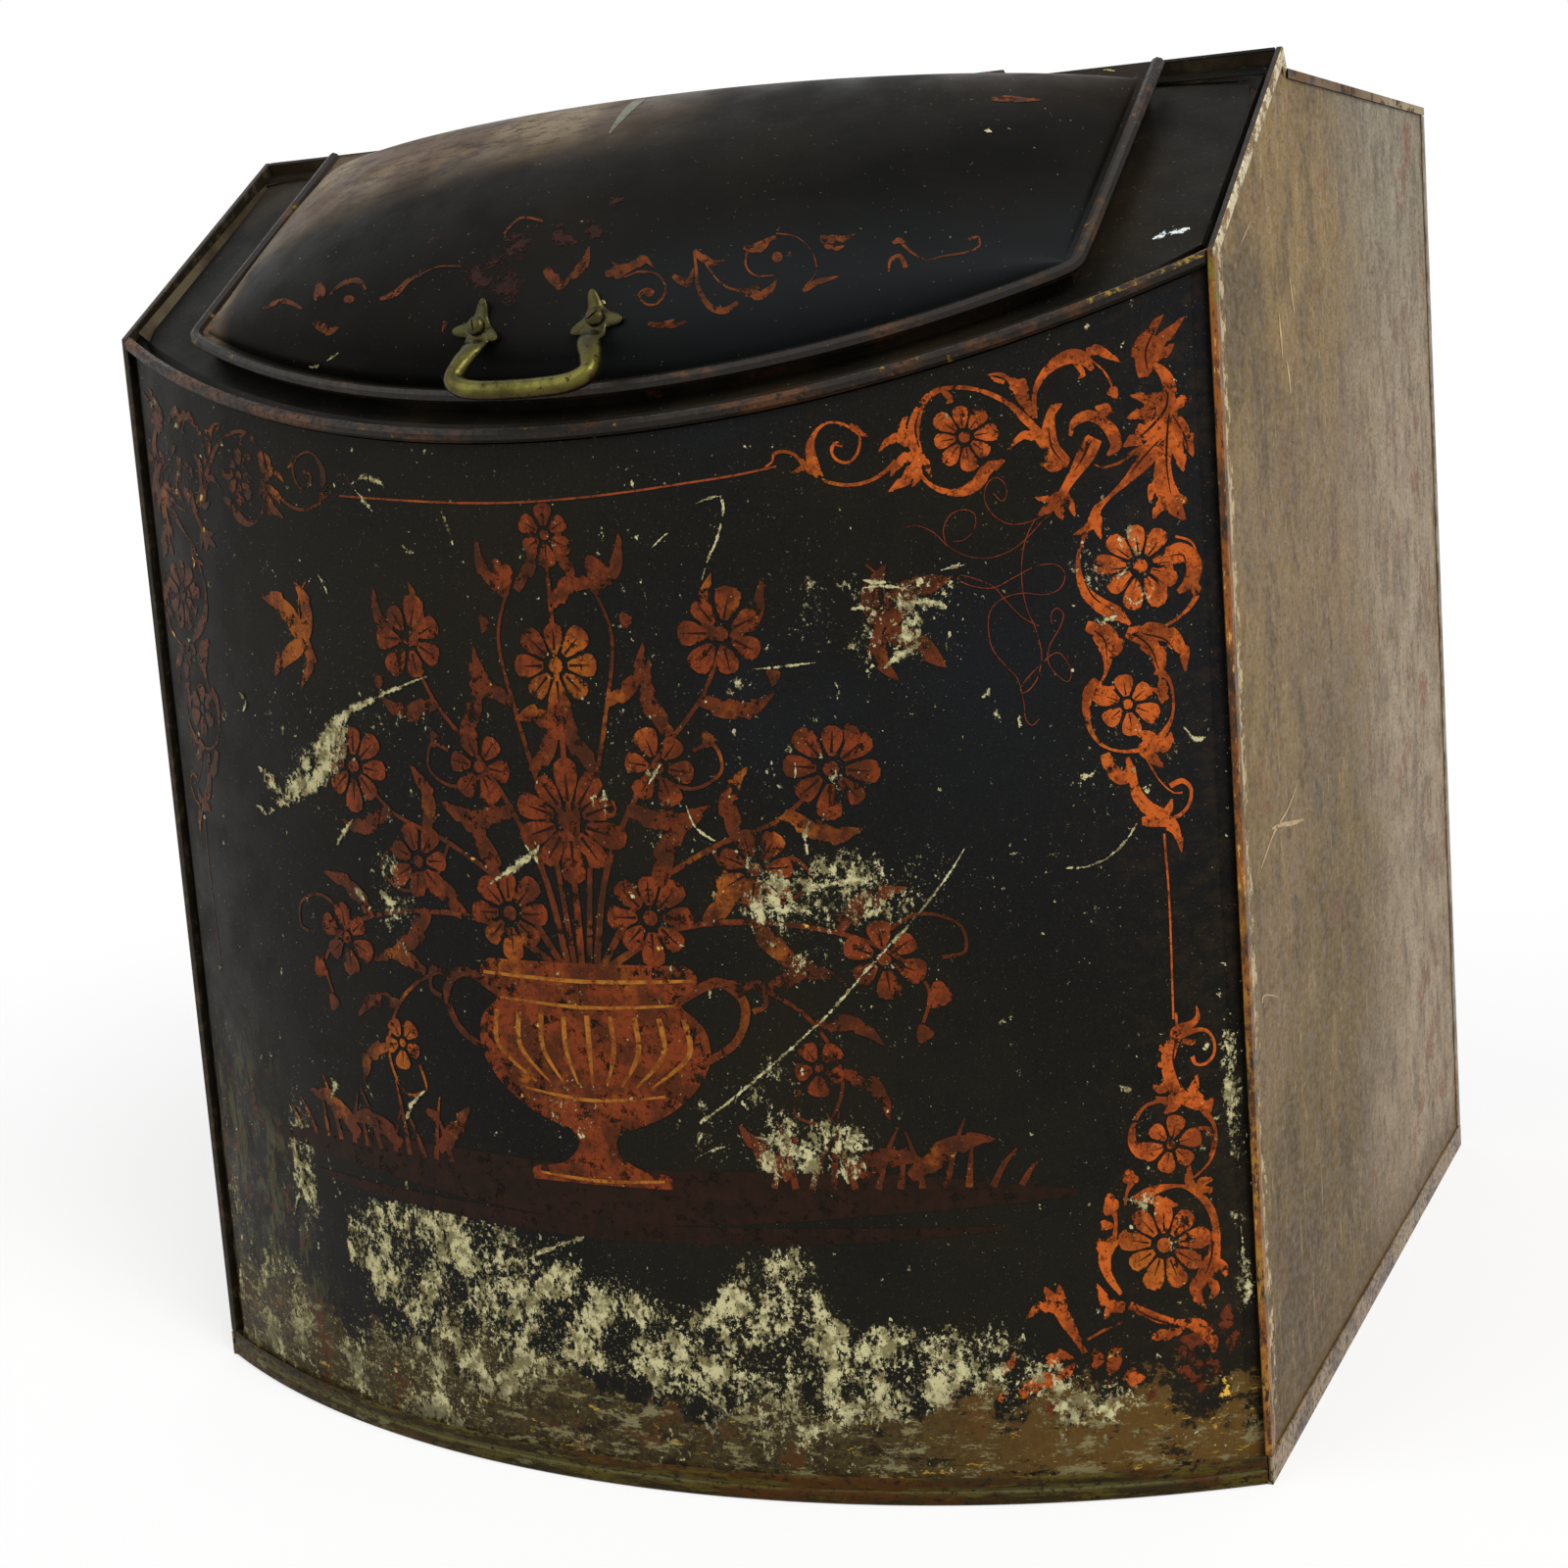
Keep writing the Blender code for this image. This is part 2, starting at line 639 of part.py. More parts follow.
# Lid
def make_lid():
    flat = LID_HALF_WIDTH - LID_FLANGE
    edge = LID_HALF_WIDTH - LID_BEAD_RADIUS - GAP
    angles = spread(-math.pi / 2, math.pi / 2, DOME_STEPS_ACROSS)
    xs = [-edge, *[flat * math.sin(a) for a in angles], edge]
    slants = spread(-math.pi / 2, math.pi / 2, DOME_STEPS_ALONG)
    rows = []
    for x in xs:
        held = max(-flat, min(flat, x))
        trim = LID_CORNER_RADIUS / 4 if abs(x) > flat + GAP else 0
        start = lid_front(x, LID_BEAD_RADIUS + GAP + trim)
        front = max(lid_front(held, LID_FLANGE), start + LID_FLANGE / 3)
        back = LID_BACK - LID_BACK_FLANGE
        vs = [front + (back - front) * (1 + math.sin(a)) / 2 for a in slants]
        row = [(x, start, LID_OFF)]
        row += [(x, v, LID_OFF + dome_height(held, v)) for v in vs]
        row.append((x, LID_BACK, LID_OFF))
        rows.append(row)
    shell = add_object("lid_shell", loft_mesh("lid_shell", rows), BLACK_JAPAN, LID, FROM_PIVOT)
    thicken(shell, SHEET)

    front = [(x, lid_front(x, 0), LID_OFF) for x in spread(-LID_HALF_WIDTH, LID_HALF_WIDTH, LID_ARC_STEPS)]
    back = LID_BACK
    left, right = (-LID_HALF_WIDTH, back, LID_OFF), (LID_HALF_WIDTH, back, LID_OFF)
    corner = LID_CORNER_RADIUS
    left_turn = bent([left, front[0], front[1]], corner, CORNER_STEPS)[:-1]
    right_turn = bent([front[-2], front[-1], right], corner, CORNER_STEPS)[1:]
    path = left_turn + front[1:-1] + right_turn
    bead = solid_from_curve("lid_edge_bead", tube_curve("lid_edge_bead", path, LID_BEAD_RADIUS))
    add_object("lid_edge_bead", bead, WORN_EDGE, LID, FROM_PIVOT)
    return shell


# Turned pieces
def turned(name, profile, look, parent, matrix, sides=ROUND_STEPS):
    """A piece turned about its own Z from a profile of radius and height, top to bottom."""

    def build(work):
        points = [work.verts.new((r, 0, z)) for r, z in profile]
        for a, b in zip(points, points[1:]):
            work.edges.new((a, b))
        if profile[0][0] > 0:
            work.edges.new((points[-1], points[0]))

    made = add_object(name, mesh_of(name, build), look, parent)
    made.matrix_local = matrix
    screw = made.modifiers.new("turned", "SCREW")
    screw.steps = sides
    screw.render_steps = sides
    screw.use_merge_vertices = True
    screw.merge_threshold = MERGE_DISTANCE
    screw.use_smooth_shade = True
    return made


def rivet_profile(grip):
    """A round-headed rivet whose head sits at Z 0 and whose tail is set at minus grip."""
    head, tall, shank = RIVET_HEAD_RADIUS, RIVET_HEAD_HEIGHT, RIVET_RADIUS
    dome = [(head * math.sin(a), tall * math.cos(a)) for a in spread(0, math.pi / 2, BEAD_STEPS)]
    tail = [(r, -grip - z) for r, z in reversed(dome)]
    return dome + [(shank, 0), (shank, -grip)] + tail


def hinge_xs():
    return ((-HINGE_SPACING / 2, "left"), (HINGE_SPACING / 2, "right"))


def rivet_xs(x):
    return ((x - RIVET_SPACING / 2, "a"), (x + RIVET_SPACING / 2, "b"))


# Hinges
def make_hinges(slope_panel, lid_shell):
    pin_v, pin_off = HINGE_PIN_V, HINGE_PIN_OFF
    half = HINGE_WIDTH / 2
    mid = LEAF_THICKNESS / 2
    knuckle_gap = KNUCKLE_WIDTH / 2 + GAP
    clear = KNUCKLE_RADIUS + GAP
    foot_off = PANEL_TOP + GAP + mid
    upright_v = pin_v + KNUCKLE_RADIUS - KNUCKLE_PROUD - mid
    lid_leaf_off = LID_TOPSIDE + GAP + mid
    lid_leaf_end = LID_BACK - LID_LEAF_LAP
    foot_rivet_v = upright_v - BODY_LEAF_FOOT / 2 - mid
    lid_rivet_v = LID_BACK - RIVET_FROM_EDGE
    grip_slack = 2 * GAP
    for x, name in hinge_xs():
        at_pin = Matrix.Translation((x, pin_v, pin_off)) @ ALONG_X
        bore_mesh = cylinder_mesh(name + "_bore", HINGE_BORE_RADIUS, HINGE_WIDTH + 2 * OVERRUN, at_pin)
        bore = cutter(name + "_bore", bore_mesh, SLOPE)

        section = [(upright_v - BODY_LEAF_FOOT, foot_off), (upright_v, foot_off), (upright_v, pin_off)]
        body_leaf = folded_sheet(
            name + "_body_hinge_leaf", section, (x - half, x + half), OLD_IRON, LEAF_THICKNESS, SLOPE
        )
        barrel = cylinder_mesh(name + "_body_barrel", KNUCKLE_RADIUS, HINGE_WIDTH, at_pin)
        cut(body_leaf, cutter(name + "_body_barrel", barrel, SLOPE), "UNION")
        low = (x - knuckle_gap, pin_v - clear, pin_off - clear)
        high = (x + knuckle_gap, pin_v + clear, pin_off + clear)
        cut(body_leaf, cutter(name + "_knuckle_room", box_mesh(name + "_knuckle_room", low, high), SLOPE))
        cut(body_leaf, bore)

        section = [(lid_leaf_end, lid_leaf_off), (pin_v, lid_leaf_off)]
        lid_leaf = folded_sheet(
            name + "_lid_hinge_leaf", section, (x - half, x + half), OLD_IRON, LEAF_THICKNESS, LID, FROM_PIVOT
        )
        barrel = cylinder_mesh(name + "_lid_barrel", KNUCKLE_RADIUS, HINGE_WIDTH - GAP, at_pin)
        cut(lid_leaf, cutter(name + "_lid_barrel", barrel, SLOPE), "UNION")
        for side, edge in ((-1, "left"), (1, "right")):
            xs = sorted((x + side * KNUCKLE_WIDTH / 2, x + side * (half + OVERRUN)))
            low = (xs[0], pin_v - clear, pin_off - clear)
            high = (xs[1], pin_v + clear, pin_off + clear)
            room = f"{name}_{edge}_leaf_room"
            cut(lid_leaf, cutter(room, box_mesh(room, low, high), SLOPE))
        cut(lid_leaf, bore)

        pin = cylinder_mesh(name + "_hinge_pin", HINGE_PIN_RADIUS, HINGE_WIDTH + 2 * PIN_OVERHANG, at_pin)
        add_object(name + "_hinge_pin", pin, OLD_IRON, SLOPE)

        hole_radius = RIVET_RADIUS + GAP
        for rivet_x, tag in rivet_xs(x):
            place = Matrix.Translation((rivet_x, foot_rivet_v, foot_off))
            hole = cylinder_mesh(f"{name}_foot_hole_{tag}", hole_radius, 2 * OVERRUN, place)
            hole = cutter(f"{name}_foot_hole_{tag}", hole, SLOPE)
            cut(body_leaf, hole)
            cut(slope_panel, hole)
            head = foot_off + mid + GAP
            place = Matrix.Translation((rivet_x, foot_rivet_v, head))
            grip = LEAF_THICKNESS + SHEET + GAP + grip_slack
            turned(f"{name}_body_rivet_{tag}", rivet_profile(grip), OLD_IRON, SLOPE, place)

            place = Matrix.Translation((rivet_x, lid_rivet_v, lid_leaf_off))
            hole = cylinder_mesh(f"{name}_lid_hole_{tag}", hole_radius, OVERRUN, place)
            hole = cutter(f"{name}_lid_hole_{tag}", hole, SLOPE)
            cut(lid_leaf, hole)
            cut(lid_shell, hole)
            head = lid_leaf_off + mid + GAP
            place = Matrix.Translation((rivet_x, lid_rivet_v - HINGE_PIN_V, head - HINGE_PIN_OFF))
            turned(f"{name}_lid_rivet_{tag}", rivet_profile(grip), OLD_IRON, LID, place)


# Handle with its screws, washers and nuts
def foot_frame(x):
    """Frame at a handle foot, on the dome's outer face: Z out of the dome, Y up the slope."""
    v, step = HANDLE_FOOT_V, GAP
    height = dome_height(x, v)
    rise_x = (dome_height(x + step, v) - dome_height(x - step, v)) / (2 * step)
    rise_v = (dome_height(x, v + step) - dome_height(x, v - step)) / (2 * step)
    normal = Vector((-rise_x, -rise_v, 1)).normalized()
    up = (Vector((0, 1, 0)) - normal * normal.y).normalized()
    across = up.cross(normal)
    seat = Vector((x, v, LID_OFF + height)) + normal * (SHEET / 2 + GAP)
    frame = Matrix((across, up, normal)).transposed().to_4x4()
    frame.translation = seat
    return frame


def dome_drop(lid_shell, frame, radius):
    """How far the lid's sheet falls below the frame's plane, at most, within this radius of it."""
    points = [point.co for point in lid_shell.data.vertices]
    tree = BVHTree.FromPolygons(points, [face.vertices for face in lid_shell.data.polygons])
    down = -frame.to_3x3().col[2]
    drops = []
    for turn in spread(0, 2 * math.pi, ROUND_STEPS):
        start = frame @ Vector((radius * math.cos(turn), radius * math.sin(turn), 0))
        _, _, _, depth = tree.ray_cast(start, down)
        drops.append(depth)
    return max(drops)


def foot_outline():
    """A pointed three-lobed leaf, its stem end towards -Y."""
    reach, waist = HANDLE_FOOT_REACH, HANDLE_FOOT_WAIST
    stem, half = -HANDLE_STEM_REACH, HANDLE_STEM_HALF
    side = reach * LEAF_SIDE_SHARE
    outline = []
    for number, tip in enumerate(LEAF_TIPS_DEGREES):
        for lean, radius in ((-LEAF_LEAN_DEGREES, side), (0, reach), (LEAF_LEAN_DEGREES, side)):
            turn = math.radians(tip + lean)
            outline.append((radius * math.cos(turn), radius * math.sin(turn)))
        if number == 1:
            outline += [(-half, -waist), (-half, stem), (half, stem), (half, -waist)]
        else:
            notch = math.radians(tip + LEAF_NOTCH_DEGREES)
            outline.append((waist * math.cos(notch), waist * math.sin(notch)))
    return outline


def make_handle(lid_shell):
    rounding = HANDLE_FOOT_THICKNESS / 4
    feet = []
    frames = {}
    for side, name in ((-1, "left"), (1, "right")):
        frame = foot_frame(side * HANDLE_FOOT_SPACING / 2)
        frames[name] = frame
        lift = Matrix.Translation((0, 0, HANDLE_FOOT_THICKNESS / 2))
        plate = plate_mesh(name + "_foot", foot_outline(), HANDLE_FOOT_THICKNESS, frame @ lift)
        foot = cutter(name + "_handle_foot", plate, LID, FROM_PIVOT)
        round_edges(foot, rounding)
        feet.append(foot)

    bar, arm, root = HANDLE_BAR_RADIUS, HANDLE_ARM_RADIUS, HANDLE_ROOT_RADIUS
    stem = Vector((0, -HANDLE_FOOT_WAIST, HANDLE_FOOT_THICKNESS / 2))
    out = Vector((0, -HANDLE_FOOT_REACH, HANDLE_FOOT_THICKNESS + HANDLE_ARM_RISE))
    left, right = frames["left"], frames["right"]
    corners = [
        (*(left @ stem), root),
        (*(left @ out), arm),
        (-HANDLE_BAR_HALF, HANDLE_BAR_V, HANDLE_BAR_OFF, bar),
        (HANDLE_BAR_HALF, HANDLE_BAR_V, HANDLE_BAR_OFF, bar),
        (*(right @ out), arm),
        (*(right @ stem), root),
    ]
    path = bent(corners, HANDLE_BEND_RADIUS, BEND_STEPS)
    curve = tube_curve("bow_handle", [place[:3] for place in path], 1, 3, [place[3] for place in path])
    handle = add_object("bow_handle", solid_from_curve("bow_handle", curve), OLD_BRASS, LID, FROM_PIVOT)
    for foot in feet:
        cut(handle, foot, "UNION")

    for name, frame in frames.items():
        local = Matrix.Translation(FROM_PIVOT) @ frame
        hole_mesh = cylinder_mesh(name + "_screw_hole", SCREW_RADIUS + GAP, HANDLE_FOOT_SPACING, local)
        hole = cutter(name + "_screw_hole", hole_mesh, LID)
        seat = Matrix.Translation((0, 0, HANDLE_FOOT_THICKNESS + OVERRUN / 2))
        room_mesh = cylinder_mesh(name + "_head_room", SCREW_HEAD_RADIUS + GAP, OVERRUN, local @ seat)
        room = cutter(name + "_head_room", room_mesh, LID)
        cut(handle, room)
        cut(handle, hole)
        cut(lid_shell, hole)
        add_fixing(name, local, dome_drop(lid_shell, frame, WASHER_RADIUS))
    return handle


def add_fixing(name, frame, drop):
    """The slotted screw through a handle foot, with the washer and nut inside the lid."""
    head, tall, shank = SCREW_HEAD_RADIUS, SCREW_HEAD_HEIGHT, SCREW_RADIUS
    seat = HANDLE_FOOT_THICKNESS + GAP
    inside = -drop - SHEET / 2 - 2 * GAP
    nut_top = inside - WASHER_THICKNESS - GAP
    nut_bottom = nut_top - NUT_THICKNESS
    end = nut_bottom - SCREW_BELOW_NUT
    dome = [(head * math.sin(a), seat + tall * math.cos(a)) for a in spread(0, math.pi / 2, BEAD_STEPS)]
    profile = dome + [(shank, seat), (shank, end), (0, end)]
    screw = turned(name + "_handle_screw", profile, OLD_BRASS, LID, frame)
    low = (-SCREW_SLOT_WIDTH / 2, -head - GAP, seat + tall - SCREW_SLOT_DEPTH)
    high = (SCREW_SLOT_WIDTH / 2, head + GAP, seat + tall + OVERRUN)
    slot = box_mesh(name + "_screw_slot", low, high)
    slot.transform(frame @ Matrix.Rotation(math.radians(SCREW_TURN_DEGREES[name]), 4, "Z"))
    cut(screw, cutter(name + "_screw_slot", slot, LID))

    bore = SCREW_RADIUS + GAP
    ring = [(WASHER_RADIUS, inside), (WASHER_RADIUS, inside - WASHER_THICKNESS)]
    ring += [(bore, inside - WASHER_THICKNESS), (bore, inside)]
    turned(name + "_handle_washer", ring, OLD_IRON, LID, frame)

    middle = (nut_top + nut_bottom) / 2
    nut_mesh = cylinder_mesh(name + "_handle_nut", NUT_RADIUS, NUT_THICKNESS, sides=6)
    nut_mesh.transform(frame @ Matrix.Translation((0, 0, middle)))
    nut = add_object(name + "_handle_nut", nut_mesh, OLD_IRON, LID)
    tap = cylinder_mesh(name + "_nut_bore", bore, 2 * NUT_THICKNESS)
    tap.transform(frame @ Matrix.Translation((0, 0, middle)))
    cut(nut, cutter(name + "_nut_bore", tap, LID))


make_side(-1, "left")
make_side(1, "right")
make_front()
make_back()
make_bottom()
make_top()
make_base()
SLOPE_PANEL = make_slope()
LID_SHELL = make_lid()
make_hinges(SLOPE_PANEL, LID_SHELL)
make_handle(LID_SHELL)
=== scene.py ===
"""The looks of a slant-front tea bin of painted tin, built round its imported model.

Painted ornament is drawn as brush strokes. Their points are typed in pixels of the photograph, or in
millimetres on the rolled-out front, and are laid on the surface that carries them.
"""

import json
import math

import bmesh
import bpy
from mathutils import Matrix, Vector
from mathutils.bvhtree import BVHTree

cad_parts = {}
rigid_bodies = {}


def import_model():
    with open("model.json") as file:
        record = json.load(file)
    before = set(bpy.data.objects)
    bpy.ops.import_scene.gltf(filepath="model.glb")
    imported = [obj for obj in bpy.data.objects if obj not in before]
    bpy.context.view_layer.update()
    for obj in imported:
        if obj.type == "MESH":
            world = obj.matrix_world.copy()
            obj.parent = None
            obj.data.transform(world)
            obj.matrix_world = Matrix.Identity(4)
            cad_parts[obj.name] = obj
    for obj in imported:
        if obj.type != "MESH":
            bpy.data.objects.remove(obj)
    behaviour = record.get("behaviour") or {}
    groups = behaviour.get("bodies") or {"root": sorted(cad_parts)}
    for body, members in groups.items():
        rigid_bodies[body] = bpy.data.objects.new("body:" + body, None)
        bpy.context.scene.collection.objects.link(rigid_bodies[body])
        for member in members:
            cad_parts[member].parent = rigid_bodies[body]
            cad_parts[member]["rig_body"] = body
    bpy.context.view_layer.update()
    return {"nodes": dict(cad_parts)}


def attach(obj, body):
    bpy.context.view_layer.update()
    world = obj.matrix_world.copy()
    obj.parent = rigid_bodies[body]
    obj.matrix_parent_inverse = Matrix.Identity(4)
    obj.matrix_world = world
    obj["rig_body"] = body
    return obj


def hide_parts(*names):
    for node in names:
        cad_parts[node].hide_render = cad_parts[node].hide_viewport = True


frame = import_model()
NODES = frame["nodes"]

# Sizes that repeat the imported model's
MM = 0.001
FRONT_Y = -0.17482
BOW_RADIUS, BOW_CENTRE_Y = 0.50169, 0.25117
FRONT_RECESS = 0.0035
SIDE_FACE_X, TOP_EDGE_X = 0.2639, 0.263
FRONT_HEIGHT = 0.505
SLOPE_RISE, SLOPE_RUN = 0.086, 0.126
SLOPE_PANEL_OFF = -0.0056
FOOT_SPACING, FOOT_V = 0.0556, -0.0570
BAR_HALF, BAR_V, BAR_OFF = 0.0385, -0.0884, 0.0190
BASE_TROUGH_Z = 0.0066
BIN_MIDDLE = (0.0, 0.04, 0.25)

# Directions of the slope
RISE = SLOPE_RISE / math.hypot(SLOPE_RISE, SLOPE_RUN)
RUN = SLOPE_RUN / math.hypot(SLOPE_RISE, SLOPE_RUN)
OFF_SLOPE = Vector((0, -RISE, RUN))
UP_SLOPE = Vector((0, RUN, RISE))

# Camera, fitted to the corners of the bin in the photograph
YAW, PITCH, ROLL = -0.4266, 0.1444, -0.0715
EYE = Vector((0.523, -1.1183, 0.4809))
FOCAL_PX, IMAGE_PX, CENTRE_PX = 2525.4, 1600, (857.9, 714.4)
SENSOR = 36


def turn(axis, angle):
    return Matrix.Rotation(angle, 3, axis)


BASE_VIEW = Matrix(((1, 0, 0), (0, 0, -1), (0, 1, 0)))
TO_CAMERA = turn("Z", ROLL) @ turn("X", PITCH) @ BASE_VIEW @ turn("Z", YAW)


def add_object(name, data):
    made = bpy.data.objects.new(name, data)
    bpy.context.scene.collection.objects.link(made)
    return made


def set_camera():
    data = bpy.data.cameras.new("photo_camera")
    data.sensor_width = SENSOR
    data.lens = FOCAL_PX / IMAGE_PX * SENSOR
    data.shift_x = (IMAGE_PX / 2 - CENTRE_PX[0]) / IMAGE_PX
    data.shift_y = (CENTRE_PX[1] - IMAGE_PX / 2) / IMAGE_PX
    camera = add_object("photo_camera", data)
    look = (Matrix.Diagonal((1, -1, -1)) @ TO_CAMERA).transposed()
    camera.matrix_world = Matrix.Translation(EYE) @ look.to_4x4()
    bpy.context.scene.camera = camera


# Surfaces that carry paint
def ray(u, v):
    """Direction from the camera through a place in the photograph."""
    local = Vector(((u - CENTRE_PX[0]) / FOCAL_PX, (v - CENTRE_PX[1]) / FOCAL_PX, 1))
    return (TO_CAMERA.transposed() @ local).normalized()


def front_seen(u, v, lift=0.0):
    """Where the bowed front, raised by lift, is seen at this place in the photograph."""
    way = ray(u, v)
    radius = BOW_RADIUS - FRONT_RECESS + lift
    dx, dy = EYE.x, EYE.y - BOW_CENTRE_Y
    a = way.x**2 + way.y**2
    b = dx * way.x + dy * way.y
    c = dx**2 + dy**2 - radius**2
    return EYE + way * ((-b - math.sqrt(max(0.0, b * b - a * c))) / a)


def front_flat(across, height, lift):
    """Place on the front, this many millimetres from its middle line and from the floor."""
    radius = BOW_RADIUS - FRONT_RECESS + lift
    x = across * MM
    return Vector((x, BOW_CENTRE_Y - math.sqrt(radius**2 - x**2), height * MM))


def side_seen(u, v, lift):
    """Where the right side is seen."""
    way = ray(u, v)
    return EYE + way * ((SIDE_FACE_X + lift - EYE.x) / way.x)


def on_slope(x, v, off):
    """Place this far up the slope from its front edge, and this far off it."""
    return Vector((x, FRONT_Y, FRONT_HEIGHT)) + UP_SLOPE * v + OFF_SLOPE * off


def slope_seen(u, v, lift):
    """Where the panel of the slope is seen."""
    way = ray(u, v)
    edge = on_slope(0, 0, SLOPE_PANEL_OFF + lift)
    return EYE + way * ((edge - EYE).dot(OFF_SLOPE) / way.dot(OFF_SLOPE))


# Node materials
def tone(r, g, b):
    """Scene colour of an 8-bit screen colour."""

    def one(v):
        v /= 255
        return v / 12.92 if v <= 0.04045 else ((v + 0.055) / 1.055) ** 2.4

    return (one(r), one(g), one(b), 1.0)


class Look:
    """A node material, built from procedural pieces in the object's own coordinates."""

    def __init__(self, name):
        self.material = bpy.data.materials.new(name)
        self.material.use_nodes = True
        self.tree = self.material.node_tree
        self.tree.nodes.clear()
        own = self.add("ShaderNodeTexCoord")
        self.at, self.facing = own.outputs["Object"], own.outputs["Normal"]
        self.x, self.y, self.z = self.parts(self.at)

    def add(self, kind, **values):
        made = self.tree.nodes.new(kind)
        for key, value in values.items():
            setattr(made, key, value)
        return made

    def link(self, source, target):
        """Joins a socket to the target, or sets the target to a plain value."""
        if isinstance(source, bpy.types.NodeSocket):
            self.tree.links.new(source, target)
        else:
            target.default_value = source

    def parts(self, vector):
        split = self.add("ShaderNodeSeparateXYZ")
        self.link(vector, split.inputs[0])
        return split.outputs

    def core(self):
        """1 on the middle line of a stroke, 0 at its edge."""
        return self.add("ShaderNodeAttribute", attribute_name="core").outputs["Fac"]

    def noise(self, scale, detail=4, rough=0.55, stretch=(1, 1, 1), shift=(0, 0, 0)):
        mapping = self.add("ShaderNodeMapping")
        self.link(self.at, mapping.inputs["Vector"])
        self.link(stretch, mapping.inputs["Scale"])
        self.link(shift, mapping.inputs["Location"])
        made = self.add("ShaderNodeTexNoise")
        self.link(mapping.outputs[0], made.inputs["Vector"])
        self.link(scale, made.inputs["Scale"])
        self.link(detail, made.inputs["Detail"])
        self.link(rough, made.inputs["Roughness"])
        return made.outputs["Fac"]

    def math(self, operation, a, b=0.0):
        made = self.add("ShaderNodeMath", operation=operation)
        self.link(a, made.inputs[0])
        self.link(b, made.inputs[1])
        return made.outputs[0]

    def size(self, value):
        return self.math("ABSOLUTE", value)

    def chain(self, operation, values):
        result = values[0]
        for value in values[1:]:
            result = self.math(operation, result, value)
        return result

    def times(self, *values):
        return self.chain("MULTIPLY", values)

    def plus(self, *values):
        return self.chain("ADD", values)

    def most(self, *values):
        return self.chain("MAXIMUM", values)

    def step(self, value, low, high):
        """0 where value is at low, 1 where it is at high, smooth between."""
        made = self.add("ShaderNodeMapRange", interpolation_type="SMOOTHSTEP")
        self.link(value, made.inputs["Value"])
        self.link(low, made.inputs["From Min"])
        self.link(high, made.inputs["From Max"])
        return made.outputs[0]

    def blend(self, kind, first, result, a, b, share):
        """Mix of one kind, whose sockets for a and b start at first."""
        made = self.add("ShaderNodeMix", data_type=kind)
        self.link(share, made.inputs[0])
        self.link(a, made.inputs[first])
        self.link(b, made.inputs[first + 1])
        return made.outputs[result]

    def mix(self, a, b, share):
        """Colour between a and b."""
        return self.blend("RGBA", 6, 2, a, b, share)

    def between(self, a, b, share):
        """Number between a and b."""
        return self.blend("FLOAT", 2, 0, a, b, share)

    def over(self, colour, shade, value, low, high, share=1.0):
        """The colour, with a shade over it where the value goes from low to high, as much as share says."""
        mask = self.step(value, low, high)
        return self.mix(colour, shade, mask if share == 1.0 else self.times(mask, share))

    def graded(self, a, b, value, low, high):
        """Number that goes from a to b as the value goes from low to high."""
        return self.between(a, b, self.step(value, low, high))

    def oval(self, x, z, across, high):
        """1 at the middle of an oval patch of the front, 0 outside it."""
        dx = self.math("DIVIDE", self.math("SUBTRACT", self.x, x), across)
        dz = self.math("DIVIDE", self.math("SUBTRACT", self.z, z), high)
        return self.step(self.plus(self.times(dx, dx), self.times(dz, dz)), 1.0, 0.0)

    def lined(self, colour):
        """The colour, with old bare tin on the faces that look into the bin."""
        out = self.add("ShaderNodeVectorMath", operation="SUBTRACT")
        self.link(self.at, out.inputs[0])
        self.link(BIN_MIDDLE, out.inputs[1])
        outward = self.add("ShaderNodeVectorMath", operation="DOT_PRODUCT")
        self.link(self.facing, outward.inputs[0])
        self.link(out.outputs[0], outward.inputs[1])
        tin = self.over(tone(88, 78, 60), tone(56, 46, 33), self.noise(12, 7, 0.7), 0.42, 0.60)
        tin = self.over(tin, tone(84, 52, 30), self.noise(60, 8, 0.76), 0.58, 0.66, 0.7)
        return self.over(colour, tin, outward.outputs["Value"], 0.01, -0.01)

    def bump(self, height, strength, distance, under=None):
        made = self.add("ShaderNodeBump")
        self.link(strength, made.inputs["Strength"])
        self.link(distance, made.inputs["Distance"])
        self.link(height, made.inputs["Height"])
        if under is not None:
            self.link(under, made.inputs["Normal"])
        return made.outputs[0]

    def done(self, colour, rough, metal=0.0, specular=0.5, normal=None, alpha=1.0):
        shader = self.add("ShaderNodeBsdfPrincipled")
        self.link(colour, shader.inputs["Base Color"])
        self.link(rough, shader.inputs["Roughness"])
        self.link(metal, shader.inputs["Metallic"])
        self.link(specular, shader.inputs["Specular IOR Level"])
        self.link(alpha, shader.inputs["Alpha"])
        if normal is not None:
            self.link(normal, shader.inputs["Normal"])
        out = self.add("ShaderNodeOutputMaterial")
        self.link(shader.outputs[0], out.inputs["Surface"])
        return self.material


BLACK = tone(16, 16, 14)
SHEEN_BLUE_BLACK = tone(20, 22, 25)
BROWN_BLACK = tone(27, 24, 17)
CREAM = tone(206, 198, 150)
DULL_CREAM = tone(128, 120, 82)
GRIME = tone(70, 60, 34)
GREEN_GREY = tone(72, 70, 46)
RUST = tone(84, 48, 26)
PAINT_GLOSS = 0.05
LOSS_MOST, LOSS_SPREAD = 0.144, 1.50

